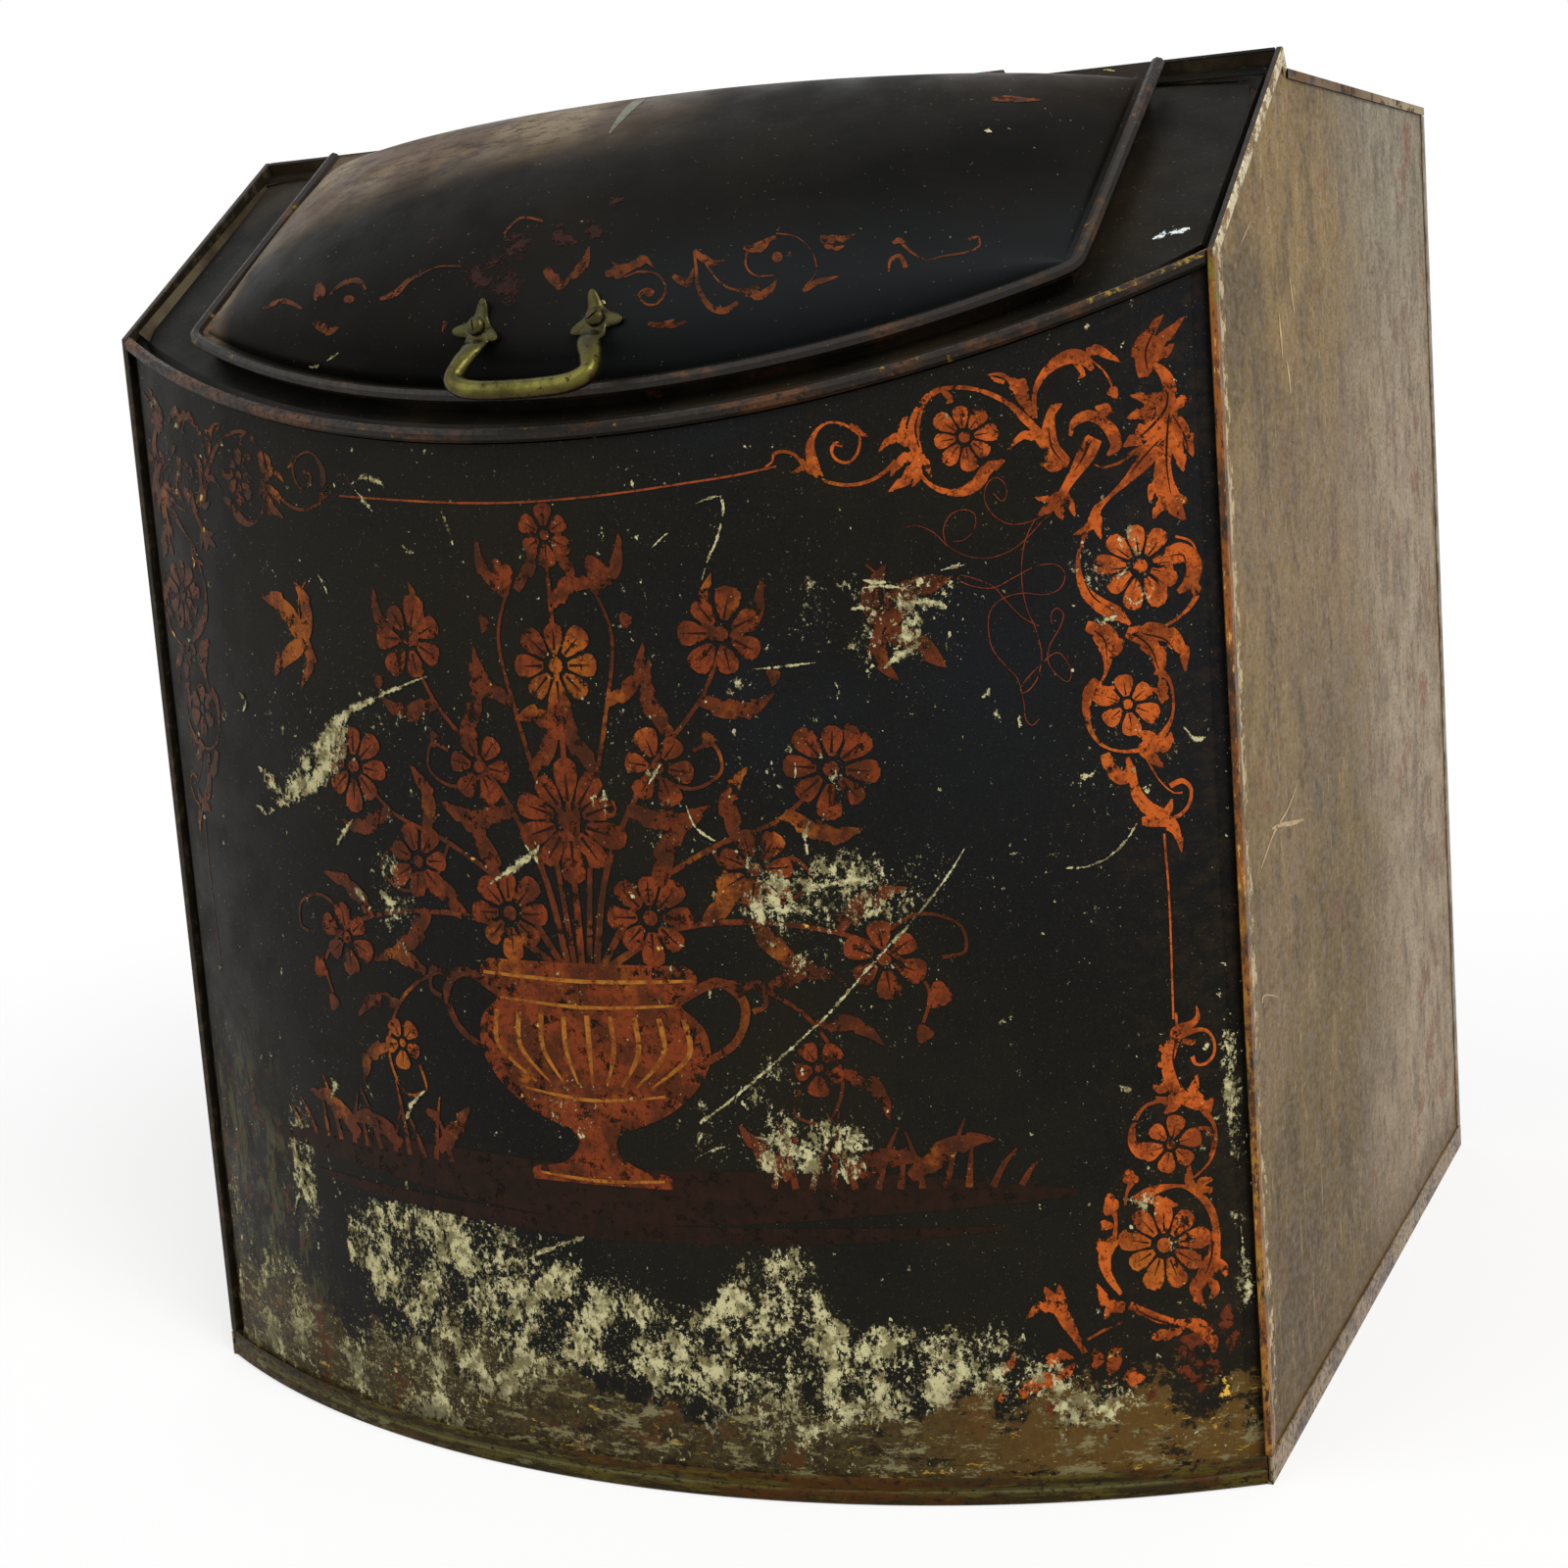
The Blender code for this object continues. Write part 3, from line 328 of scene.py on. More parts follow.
# Patches where the front has lost its paint: place in the photograph, half sizes in metres, strength
LOSS_PATCHES = (
    (395, 1275, 0.024, 0.022, 0.16),
    (450, 1305, 0.034, 0.034, 0.21),
    (520, 1330, 0.040, 0.034, 0.20),
    (420, 1390, 0.050, 0.026, 0.12),
    (625, 1345, 0.024, 0.022, 0.14),
    (700, 1385, 0.030, 0.022, 0.16),
    (790, 1375, 0.026, 0.036, 0.21),
    (815, 1340, 0.010, 0.028, 0.16),
    (860, 1405, 0.040, 0.020, 0.20),
    (960, 1385, 0.036, 0.014, 0.15),
    (1070, 1425, 0.034, 0.012, 0.12),
    (310, 1190, 0.010, 0.040, 0.13),
    (290, 1330, 0.024, 0.030, 0.12),
    (245, 1250, 0.012, 0.050, 0.10),
    (860, 905, 0.044, 0.014, 0.10),
    (850, 945, 0.030, 0.022, 0.10),
    (830, 1185, 0.022, 0.018, 0.10),
    (770, 1150, 0.024, 0.024, 0.08),
    (585, 1130, 0.016, 0.014, 0.09),
    (400, 920, 0.012, 0.022, 0.10),
    (350, 760, 0.050, 0.030, 0.05),
    (870, 620, 0.044, 0.016, 0.05),
    (940, 610, 0.020, 0.008, 0.08),
    (920, 665, 0.018, 0.014, 0.07),
    (720, 800, 0.060, 0.060, 0.03),
    (1150, 600, 0.020, 0.030, 0.05),
    (1150, 770, 0.020, 0.024, 0.05),
    (1255, 1090, 0.003, 0.022, 0.13),
    (1262, 1160, 0.003, 0.012, 0.12),
    (1270, 1310, 0.003, 0.014, 0.13),
    (1195, 1160, 0.020, 0.050, 0.04),
)


def front_loss(look):
    """Mask of flaked places on the front, shared by its ground and its painted ornament."""
    field = look.times(look.step(look.z, 0.060, 0.016), 0.05)
    for u, v, across, high, strength in LOSS_PATCHES:
        place = front_seen(u, v)
        patch = look.oval(place.x, place.z, across * LOSS_SPREAD, high * LOSS_SPREAD)
        field = look.plus(field, look.times(patch, strength))
    field = look.math("MINIMUM", field, LOSS_MOST)
    coarse = look.times(look.noise(48, 9, 0.80, stretch=(1.15, 0.6, 0.85)), 0.90)
    fine = look.times(look.noise(330, 6, 0.80, stretch=(1.2, 0.6, 0.9)), 0.45)
    flaked = look.step(look.plus(coarse, fine, field), 0.832, 0.844)
    chips = look.step(look.plus(look.noise(620, 5, 0.72), look.times(field, 0.5)), 0.678, 0.692)
    nicks = look.noise(200, 4, 0.64, stretch=(1.0, 0.6, 0.8), shift=(1, 8, 4))
    nicks = look.step(look.plus(nicks, look.times(field, 0.4)), 0.695, 0.705)
    return look.most(flaked, chips, nicks)


def flake_colour(look):
    """Bared primer: cream, browner in spots and greyer near the floor."""
    pale = look.over(DULL_CREAM, CREAM, look.noise(170, 5, 0.7), 0.42, 0.56)
    pale = look.over(pale, tone(118, 92, 60), look.noise(330, 5, 0.75), 0.58, 0.66)
    low = look.step(look.z, 0.060, 0.020)
    return look.over(pale, tone(108, 104, 78), look.noise(60, 6, 0.7), 0.40, 0.60, low)


def front_black(look, drift):
    """The front's black: a painted blue sheen in the upper right, brown at both edges, green-grey at the
    lower left.
    """
    cloud = look.noise(5, 5, 0.6)
    colour = look.over(BLACK, BROWN_BLACK, cloud, 0.44, 0.70)
    # Painted sheen: bluish black over the upper right stands in for a soft reflection.
    upper = look.times(look.step(look.z, 0.18, 0.36), look.step(look.x, -0.16, 0.02))
    colour = look.over(colour, SHEEN_BLUE_BLACK, cloud, 0.58, 0.40, upper)
    rubbed = look.noise(120, 8, 0.76, stretch=(0.8, 0.8, 1.2))
    edge = look.times(look.step(look.size(look.x), 0.185, 0.262), 0.5)
    colour = look.over(colour, tone(50, 38, 25), rubbed, 0.44, 0.64, edge)
    left = look.plus(look.times(look.step(look.x, -0.120, -0.245), look.step(look.z, 0.26, 0.05)), drift)
    upright = look.noise(95, 8, 0.80, stretch=(1.3, 1.3, 0.45), shift=(3, 2, 6))
    colour = look.over(colour, GREEN_GREY, upright, 0.50, 0.56, look.step(left, 0.75, 1.10))
    rusty = look.step(left, 0.75, 1.05)
    return look.over(colour, tone(78, 48, 26), look.noise(120, 7, 0.78), 0.54, 0.60, rusty)


def front_grime(look):
    """Dirt along the foot of the front: rusty, more orange on the right, with dark and pale flecks."""
    grime = look.over(tone(44, 35, 21), GRIME, look.noise(300, 7, 0.8), 0.42, 0.58)
    grime = look.over(grime, tone(84, 50, 24), look.noise(40, 8, 0.78, shift=(2, 9, 2)), 0.55, 0.61, 0.7)
    grime = look.over(grime, tone(106, 77, 34), look.x, 0.08, 0.22, 0.7)
    dark = look.noise(90, 8, 0.80, stretch=(0.6, 0.6, 1.2))
    grime = look.over(grime, tone(34, 26, 17), dark, 0.55, 0.60)
    pale = look.noise(110, 8, 0.82, stretch=(0.5, 0.5, 1.5), shift=(7, 7, 7))
    return look.over(grime, tone(134, 127, 90), pale, 0.545, 0.585, 0.85)


def front_ground():
    look = Look("front_black")
    drift = look.noise(30, 7, 0.72, shift=(3, 2, 6))
    height = look.plus(look.z, look.times(look.plus(drift, -0.5), 0.16), look.times(look.x, 0.03))
    colour = look.over(front_black(look, drift), front_grime(look), height, 0.050, 0.042)
    gold = look.noise(200, 6, 0.78, stretch=(0.5, 0.5, 1.4))
    colour = look.over(colour, tone(186, 150, 58), gold, 0.625, 0.645, look.step(look.z, 0.066, 0.030))
    colour = look.over(colour, tone(110, 104, 88), look.noise(1100, 3, 0.6), 0.68, 0.73, 0.7)
    colour = look.over(colour, tone(58, 54, 44), look.noise(1600, 2, 0.6), 0.35, 0.65, 0.14)
    loss = front_loss(look)
    colour = look.lined(look.mix(colour, flake_colour(look), loss))
    rough = look.graded(0.34, 0.50, look.noise(40, 5), 0.35, 0.65)
    rough = look.between(rough, 0.75, loss)
    dents = look.plus(look.noise(14, 3), look.times(look.noise(420, 3), 0.08))
    normal = look.bump(loss, 0.30, -0.0003, look.bump(dents, 0.20, 0.004))
    return look.done(colour, rough, specular=PAINT_GLOSS, normal=normal)


def ornament_paint(name, bright, dull, worn):
    """Painted ornament: thin in places, and lost where the ground is lost."""
    look = Look(name)
    colour = look.over(dull, bright, look.noise(60, 6, 0.68), 0.42, 0.58)
    colour = look.over(colour, tone(190, 106, 34), look.noise(16, 5, 0.7, shift=(5, 2, 7)), 0.54, 0.66, 0.6)
    colour = look.over(colour, tone(58, 28, 14), look.noise(420, 6, 0.78), 0.50, 0.62, 0.75)
    colour = look.over(colour, tone(226, 176, 84), look.noise(75, 5, 0.65, shift=(9, 4, 1)), 0.685, 0.72)
    loss = front_loss(look)
    colour = look.mix(colour, flake_colour(look), loss)
    low = look.times(look.step(look.z, 0.110, 0.030), 0.10)
    edge = look.times(look.step(look.core(), 0.30, 0.0), 0.05)
    high = look.times(look.step(look.z, 0.395, 0.470), 0.020)
    gone = look.step(look.plus(look.noise(130, 8, 0.78), low, high, edge, worn), 0.63, 0.57)
    rough = look.between(0.42, 0.75, loss)
    return look.done(colour, rough, specular=0.08, alpha=look.most(gone, loss))


def worn_bead(name, bright, dark, share):
    """Dark paint worn through to rusty tin along a rolled edge."""
    look = Look(name)
    wear = look.noise(55, 8, 0.72, stretch=(0.4, 0.4, 0.8))
    fine = look.noise(420, 6, 0.7)
    colour = look.over(dark, bright, wear, share, share + 0.16)
    colour = look.over(colour, tone(118, 98, 40), look.noise(105, 6, 0.72, shift=(2, 8, 3)), 0.62, 0.68)
    colour = look.over(colour, tone(26, 19, 14), fine, 0.52, 0.62)
    rough = look.graded(0.32, 0.56, fine, 0.4, 0.6)
    return look.done(colour, rough, specular=0.22, normal=look.bump(fine, 0.3, 0.0005))


def rim_bead():
    """The bead over the front: brown below, dusty grey with a painted highlight on its top, olive-gold near
    the right end.
    """
    look = Look("rim_bead_paint")
    upward = look.parts(look.facing)[2]
    wear = look.noise(60, 8, 0.72, stretch=(0.4, 0.4, 0.8))
    fine = look.noise(420, 6, 0.7)
    colour = look.over(tone(30, 24, 17), tone(78, 48, 26), wear, 0.46, 0.60)
    # Painted highlight with dust: lighter grey on the faces that look up.
    top = look.times(look.step(upward, 0.60, 0.88), 0.6)
    colour = look.over(colour, tone(82, 82, 80), wear, 0.62, 0.44, top)
    near_end = look.times(look.step(look.x, 0.190, 0.250), look.step(upward, 0.10, 0.60), 0.12)
    olive = look.plus(look.noise(150, 8, 0.78), near_end)
    colour = look.over(colour, tone(142, 112, 32), olive, 0.60, 0.66)
    colour = look.over(colour, tone(20, 16, 12), fine, 0.52, 0.60)
    rough = look.graded(0.34, 0.58, fine, 0.4, 0.6)
    return look.done(colour, rough, specular=0.18, normal=look.bump(fine, 0.35, 0.0005))


# Folded front edge of a side: how far back its roll is painted, and where its paint meets the front's
ROLL_BACK = (0.0052, 0.0040)
ROLL_INNER_X = (0.2626, 0.2619)
ROLL_CORNER_X = (0.26440, 0.26460)


def edge_front(look, wear, fine):
    """The face of the fold that looks forward: rusty orange, streaked, olive near its top."""
    front = look.over(tone(142, 82, 24), tone(74, 44, 18), wear, 0.46, 0.58)
    low = look.step(look.z, 0.34, 0.12)
    front = look.over(front, tone(166, 116, 42), look.noise(70, 7, 0.74, shift=(4, 1, 1)), 0.44, 0.56, low)
    streak = look.noise(300, 8, 0.80, stretch=(1, 1, 0.30))
    front = look.over(front, tone(34, 22, 12), streak, 0.51, 0.58)
    front = look.over(front, tone(206, 160, 80), streak, 0.43, 0.38)
    front = look.over(front, tone(122, 112, 40), fine, 0.46, 0.56, look.step(look.z, 0.470, 0.490))
    front = look.over(front, tone(34, 27, 20), look.z, FRONT_HEIGHT - 0.003, FRONT_HEIGHT + 0.002)
    return look.over(front, tone(22, 16, 11), look.size(look.x), *ROLL_INNER_X)


def edge_tin():
    """Folded front edge of a side: rusty orange in front, worn bright with a painted highlight at its
    corner, tin outside.
    """
    look = Look("side_edge_tin")
    fine = look.noise(190, 8, 0.80, stretch=(1, 0.7, 0.7))
    wear = look.noise(42, 8, 0.72, stretch=(1, 1, 0.6))
    front = edge_front(look, wear, fine)
    # Worn bright tin with a painted highlight, at the corner and on the outer face of the fold.
    bright = look.over(tone(222, 206, 168), tone(116, 84, 46), fine, 0.47, 0.53)
    tin = look.over(tone(150, 120, 78), tone(98, 74, 40), wear, 0.40, 0.62)
    ragged = look.times(look.plus(fine, -0.5), 0.014)
    upright = look.step(look.z, FRONT_HEIGHT + 0.002, FRONT_HEIGHT - 0.004)
    side = look.over(bright, tin, fine, 0.47, 0.55, 0.7)
    back = (FRONT_Y + reach for reach in ROLL_BACK)
    side = look.over(side, front, look.plus(look.y, ragged), *back, upright)
    corner = look.plus(look.size(look.x), look.times(ragged, 0.05))
    colour = look.over(front, side, corner, *ROLL_CORNER_X)
    dull = look.over(tone(34, 29, 20), tone(70, 56, 36), fine, 0.52, 0.60)
    colour = look.over(colour, dull, look.x, 0.0, -0.1)
    rough = look.graded(0.36, 0.58, fine, 0.4, 0.6)
    return look.done(colour, rough, metal=0.10, specular=0.25, normal=look.bump(fine, 0.4, 0.0008))


def back_edge_tin():
    look = Look("back_edge_tin")
    fine = look.noise(120, 8, 0.74, stretch=(1, 1, 0.5))
    colour = look.over(tone(150, 140, 122), tone(96, 74, 54), fine, 0.42, 0.60)
    colour = look.over(colour, tone(122, 72, 40), look.noise(24, 6, 0.7), 0.55, 0.66, 0.8)
    return look.done(colour, 0.5, metal=0.30, specular=0.5, normal=look.bump(fine, 0.4, 0.0008))


def side_front(look, cloud):
    """The front part of a side: tan-brown with painted light, lighter at the top, stained and finely
    scored.
    """
    # Painted light: lighter at the top, darker lower down.
    front = look.over(tone(142, 115, 66), tone(110, 88, 46), look.z, 0.42, 0.16)
    front = look.over(front, tone(80, 64, 40), cloud, 0.46, 0.60, 0.7)
    front = look.over(front, tone(134, 110, 78), look.noise(4, 3, 0.5, shift=(2, 5, 1)), 0.46, 0.62, 0.7)
    stain = look.noise(34, 9, 0.78, stretch=(1, 1.2, 0.7), shift=(2, 2, 9))
    front = look.over(front, tone(70, 55, 34), stain, 0.50, 0.60, 0.55)
    front = look.over(front, tone(168, 142, 98), stain, 0.45, 0.36, 0.45)
    scores = look.noise(240, 5, 0.70, stretch=(1, 1.4, 0.12))
    return look.over(front, tone(186, 156, 102), scores, 0.615, 0.650, 0.6)


def side_back(look, dash):
    """The back part of a side: grey with short dark and pale flecks."""
    wide = look.noise(30, 6, 0.70, stretch=(1, 0.8, 0.8), shift=(3, 3, 3))
    back = look.over(tone(164, 143, 114), tone(140, 129, 104), look.z, 0.40, 0.56)
    back = look.over(back, tone(118, 98, 72), wide, 0.42, 0.62, 0.6)
    back = look.over(back, tone(76, 61, 44), dash, 0.51, 0.59, 0.50)
    return look.over(back, tone(178, 167, 148), dash, 0.46, 0.40, 0.35)


def side_tin():
    """Bare side: tan-brown in front, grey with dark flecks behind, rusty near the back edge."""
    look = Look("side_tin")
    cloud = look.noise(9, 7, 0.66, stretch=(1, 0.7, 1))
    dash = look.noise(100, 7, 0.74, stretch=(1, 0.9, 0.5))
    patchy = look.plus(look.y, look.times(cloud, 0.24), look.times(dash, 0.10), -0.17)
    colour = look.over(side_front(look, cloud), side_back(look, dash), patchy, 0.000, 0.150)
    near_back = look.times(look.step(look.y, 0.06, 0.25), 0.07)
    rust = look.plus(look.noise(26, 8, 0.74, stretch=(1, 0.7, 1), shift=(4, 4, 4)), near_back)
    colour = look.over(colour, tone(124, 78, 44), rust, 0.59, 0.68, 0.7)
    specks = look.noise(190, 6, 0.7, shift=(1, 7, 2))
    colour = look.over(colour, tone(172, 142, 98), specks, 0.64, 0.69, 0.8)
    pits = look.noise(500, 6, 0.78, stretch=(1, 0.5, 1))
    colour = look.over(colour, tone(58, 44, 24), pits, 0.51, 0.62, 0.55)
    # Pale worn marks just behind the front edge, partly a painted highlight of the rolled edge.
    wear_and_highlight_streaks = look.noise(230, 7, 0.78, stretch=(1, 0.5, 0.4), shift=(6, 2, 2))
    reach = look.step(look.y, FRONT_Y + 0.0180, FRONT_Y + 0.0060)
    wear_and_highlight_streaks = look.step(look.plus(wear_and_highlight_streaks, look.times(reach, 0.09)), 0.54, 0.59)
    colour = look.over(colour, tone(204, 182, 136), reach, 0.0, 0.1, wear_and_highlight_streaks)
    colour = look.lined(look.over(colour, tone(92, 70, 38), look.z, 0.040, 0.014, 0.7))
    fine = look.noise(300, 7, 0.78, stretch=(1, 0.6, 1))
    rough = look.graded(0.34, 0.58, fine, 0.38, 0.62)
    height = look.plus(look.noise(7, 2), look.times(fine, 0.03))
    return look.done(colour, rough, metal=0.18, specular=0.05, normal=look.bump(height, 0.30, 0.008))


def bare_edges(look, colour, worn):
    """The colour, with bare tin on the faces turned down at both ends of the flat top."""
    turned = look.step(look.size(look.parts(look.facing)[0]), 0.5, 0.8)
    bare = look.over(tone(112, 84, 54), tone(168, 150, 118), look.y, 0.08, 0.20)
    bare = look.over(bare, tone(62, 44, 28), worn, 0.50, 0.58)
    return look.over(colour, bare, look.size(look.x), TOP_EDGE_X - 2 * MM, TOP_EDGE_X, turned)


def dark_paint(name, brown, rough_low=0.34, rub=0.0, edges=False):
    """Old black paint with a brown cast, fine pits and rubbed places."""
    look = Look(name)
    colour = look.over(BLACK, brown, look.noise(9, 6, 0.62), 0.42, 0.68)
    worn = look.noise(80, 8, 0.74, stretch=(0.7, 0.7, 1.0))
    colour = look.over(colour, RUST, worn, 0.66 - rub, 0.72 - rub, 0.7)
    colour = look.lined(look.over(colour, tone(120, 112, 92), look.noise(640, 3, 0.6), 0.66, 0.72, 0.35))
    if edges:
        colour = bare_edges(look, colour, worn)
    rough = look.graded(rough_low, rough_low + 0.18, look.noise(35, 6), 0.35, 0.65)
    height = look.plus(look.noise(16, 3), look.times(look.noise(300, 5, 0.7), 0.12))
    return look.done(colour, rough, specular=PAINT_GLOSS, normal=look.bump(height, 0.25, 0.004))


def lid_paint():
    """The lid's black: brown at the top right, a painted blue-black sheen low on the right, rubbed pale
    with a painted highlight on the left.
    """
    look = Look("lid_black")
    colour = look.over(tone(8, 8, 6), tone(20, 16, 10), look.noise(8, 6, 0.62), 0.40, 0.66)
    # Painted sheen: blue-black low on the right stands in for a soft reflection.
    right = look.times(look.step(look.x, -0.06, 0.10), 0.8)
    colour = look.over(colour, tone(30, 32, 33), look.z, 0.548, 0.505, right)
    colour = look.over(colour, tone(34, 26, 16), look.z, 0.560, 0.594, look.step(look.x, 0.08, 0.20))
    # The pale patch on the left shoulder and crown is partly rubbed paint and partly a painted highlight.
    shoulder = look.step(look.x, -0.184, -0.206)
    crown = look.times(look.step(look.x, 0.05, -0.05), look.step(look.y, -0.180, -0.135))
    grain = look.step(look.noise(46, 8, 0.74, stretch=(0.35, 1, 1)), 0.30, 0.50)
    rub = look.times(look.most(shoulder, crown), grain)
    pale = look.over(tone(92, 75, 60), tone(126, 110, 86), look.noise(20, 5), 0.45, 0.62)
    colour = look.mix(colour, pale, look.times(rub, 0.90))
    pits = look.noise(200, 8, 0.80, stretch=(0.4, 1, 1))
    colour = look.over(colour, tone(34, 26, 18), pits, 0.51, 0.57, look.times(rub, 0.8))
    colour = look.over(colour, tone(88, 50, 24), look.noise(80, 8, 0.74), 0.665, 0.72, 0.7)
    colour = look.lined(look.over(colour, tone(150, 140, 108), look.noise(560, 3, 0.6), 0.70, 0.74, 0.6))
    rough = look.graded(0.34, 0.50, look.noise(35, 6), 0.35, 0.65)
    height = look.plus(look.noise(11, 3), look.times(look.noise(260, 5, 0.7), 0.10))
    return look.done(colour, rough, specular=0.03, normal=look.bump(height, 0.22, 0.004))


def old_brass():
    """Greenish worn brass, with painted shade on its downward faces, and darker at the handle's feet."""
    look = Look("old_brass")
    grime = look.noise(240, 6, 0.72)
    colour = look.over(tone(98, 94, 42), tone(66, 61, 25), look.noise(60, 4), 0.40, 0.62)
    # Painted shade: darker on the faces that look down.
    colour = look.over(colour, tone(56, 40, 16), look.parts(look.facing)[2], 0.1, -0.7, 0.8)
    colour = look.over(colour, tone(46, 42, 26), look.z, 0.4800, 0.4920, 0.8)
    colour = look.over(colour, tone(28, 22, 11), grime, 0.56, 0.66)
    rough = look.graded(0.20, 0.40, grime, 0.4, 0.6)
    return look.done(colour, rough, metal=0.85, specular=0.3, normal=look.bump(grime, 0.22, 0.0006))


def old_iron():
    look = Look("old_iron")
    grain = look.noise(240, 6, 0.7)
    colour = look.over(tone(40, 34, 30), tone(104, 66, 40), grain, 0.44, 0.66)
    return look.done(colour, 0.6, metal=0.5, specular=0.4, normal=look.bump(grain, 0.4, 0.0006))


def base_band():
    """The double bead at the foot of the front: dark brown, with olive lines and a grey trough."""
    look = Look("base_band")
    wear = look.noise(20, 8, 0.74, stretch=(0.5, 0.5, 1.6))
    fine = look.noise(420, 7, 0.78, stretch=(0.6, 0.6, 1.2))
    colour = look.over(tone(42, 34, 14), tone(66, 40, 13), wear, 0.46, 0.58)
    olive = look.noise(60, 8, 0.80, stretch=(0.3, 0.3, 3.0), shift=(5, 1, 1))
    colour = look.over(colour, tone(74, 64, 22), olive, 0.51, 0.56)
    trough = look.step(look.size(look.math("SUBTRACT", look.z, BASE_TROUGH_Z)), 0.0018, 0.0004)
    colour = look.over(colour, tone(80, 76, 42), wear, 0.60, 0.46, trough)
    verdigris = look.noise(90, 7, 0.76, stretch=(0.4, 0.4, 1.6), shift=(6, 6, 6))
    colour = look.over(colour, tone(96, 94, 60), verdigris, 0.57, 0.61, look.step(look.x, 0.10, -0.10))
    colour = look.over(colour, tone(24, 18, 11), fine, 0.51, 0.63)
    rough = look.graded(0.40, 0.66, fine, 0.4, 0.6)
    return look.done(colour, rough, specular=0.08, normal=look.bump(fine, 0.35, 0.0006))


def flake_paint(name, colour=None):
    """Bared primer or a plain colour, broken up at its edges."""
    look = Look(name)
    broken = look.step(look.noise(95, 6, 0.75, shift=(1, 2, 3)), 0.50, 0.60)
    ragged = look.plus(look.noise(330, 8, 0.8), look.times(look.core(), 0.20), look.times(broken, -0.13))
    alpha = look.step(ragged, 0.59, 0.61)
    return look.done(colour or flake_colour(look), 0.8, specular=0.1, alpha=alpha)


def plain_paint(name, colour, other, worn=0.0, gloss=0.06, frayed=0.0):
    """Thin paint of two mottled colours, more broken where worn is higher and at frayed edges."""
    look = Look(name)
    mottled = look.over(colour, other, look.noise(120, 6, 0.7), 0.38, 0.62)
    edge = look.times(look.math("SUBTRACT", 1.0, look.core()), frayed)
    kept = look.step(look.plus(look.noise(170, 8, 0.78), worn, edge), 0.66, 0.58)
    return look.done(mottled, 0.5, specular=gloss, alpha=kept)


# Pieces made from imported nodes
WELD = 0.01 * MM
FLAT_JOIN, SHAPE_JOIN = math.radians(25), math.radians(70)
SHARP_DEGREES, SHARP_ON_ROUNDS, SHARP_ON_LID = 38, 50, 45
BEAD_LEVELS = 2


def set_look(material, *nodes):
    for name in nodes:
        slots = NODES[name].data.materials
        slots.clear()
        slots.append(material)


def add_piece(name, work, material, slot):
    """A piece of the finished bmesh, which rides on the body of the node that names its slot."""
    mesh = bpy.data.meshes.new(name)
    work.to_mesh(mesh)
    work.free()
    mesh.materials.append(material)
    made = add_object(name, mesh)
    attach(made, NODES[slot]["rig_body"])
    return made


def smoothed(node, material, levels=1, sharp_degrees=SHARP_DEGREES):
    """A smoothly shaded piece on a node's own shape, with its hard edges kept."""
    work = bmesh.new()
    work.from_mesh(NODES[node].data)
    bmesh.ops.remove_doubles(work, verts=work.verts, dist=WELD)
    bmesh.ops.join_triangles(
        work, faces=work.faces, angle_face_threshold=FLAT_JOIN, angle_shape_threshold=SHAPE_JOIN
    )
    crease = work.edges.layers.float.new("crease_edge")
    sharp = math.radians(sharp_degrees)
    for edge in work.edges:
        if len(edge.link_faces) != 2 or edge.calc_face_angle(0.0) > sharp:
            edge.smooth = False
            edge[crease] = 1.0
    for face in work.faces:
        face.smooth = True
    made = add_piece(node + "_smooth", work, material, node)
    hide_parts(node)
    finer = made.modifiers.new("finer", "SUBSURF")
    finer.levels = levels
    finer.render_levels = levels
    return made


BRASS = old_brass()
IRON = old_iron()
BLACK_SLOPE = dark_paint("slope_black", tone(36, 30, 20))
BLACK_TOP = dark_paint("top_black", tone(52, 42, 28), 0.42, rub=0.07, edges=True)
DULL_BACK = dark_paint("back_dull", tone(56, 45, 33), 0.48, rub=0.07)
BASE_TIN = worn_bead("base_fold_tin", tone(150, 126, 92), tone(92, 72, 50), 0.42)
LID_BEAD = worn_bead("lid_bead_paint", tone(76, 50, 28), tone(28, 23, 17), 0.52)


def dress_nodes():
    set_look(side_tin(), "left_side_panel", "right_side_panel")
    set_look(edge_tin(), "left_front_binding", "right_front_binding")
    set_look(back_edge_tin(), "left_back_binding", "right_back_binding")
    set_look(BASE_TIN, "left_base_fold", "right_base_fold", "back_base_fold")
    set_look(BLACK_SLOPE, "slope_lip")
    set_look(BLACK_TOP, "top_panel")
    set_look(DULL_BACK, "back_panel", "bottom_panel")
    for side in ("left", "right"):
        set_look(IRON, side + "_handle_washer", side + "_handle_nut", side + "_hinge_pin")
        set_look(IRON, side + "_body_hinge_leaf", side + "_lid_hinge_leaf")
        smoothed(side + "_handle_screw", BRASS, sharp_degrees=SHARP_ON_ROUNDS)
        for tag in "ab":
            set_look(IRON, f"{side}_body_rivet_{tag}", f"{side}_lid_rivet_{tag}")
    smoothed("front_panel", front_ground())
    smoothed("front_rim_bead", rim_bead(), BEAD_LEVELS)
    smoothed("lid_edge_bead", LID_BEAD, BEAD_LEVELS)
    smoothed("front_base_bead", base_band())
    smoothed("slope_panel", BLACK_SLOPE, sharp_degrees=SHARP_ON_ROUNDS)
    smoothed("opening_collar", BLACK_TOP)


def tree_of(made):
    """Search tree of a piece as the camera sees it."""
    bpy.context.view_layer.update()
    return BVHTree.FromObject(made, bpy.context.evaluated_depsgraph_get())


dress_nodes()
LID_TREE = tree_of(smoothed("lid_shell", lid_paint(), sharp_degrees=SHARP_ON_LID))


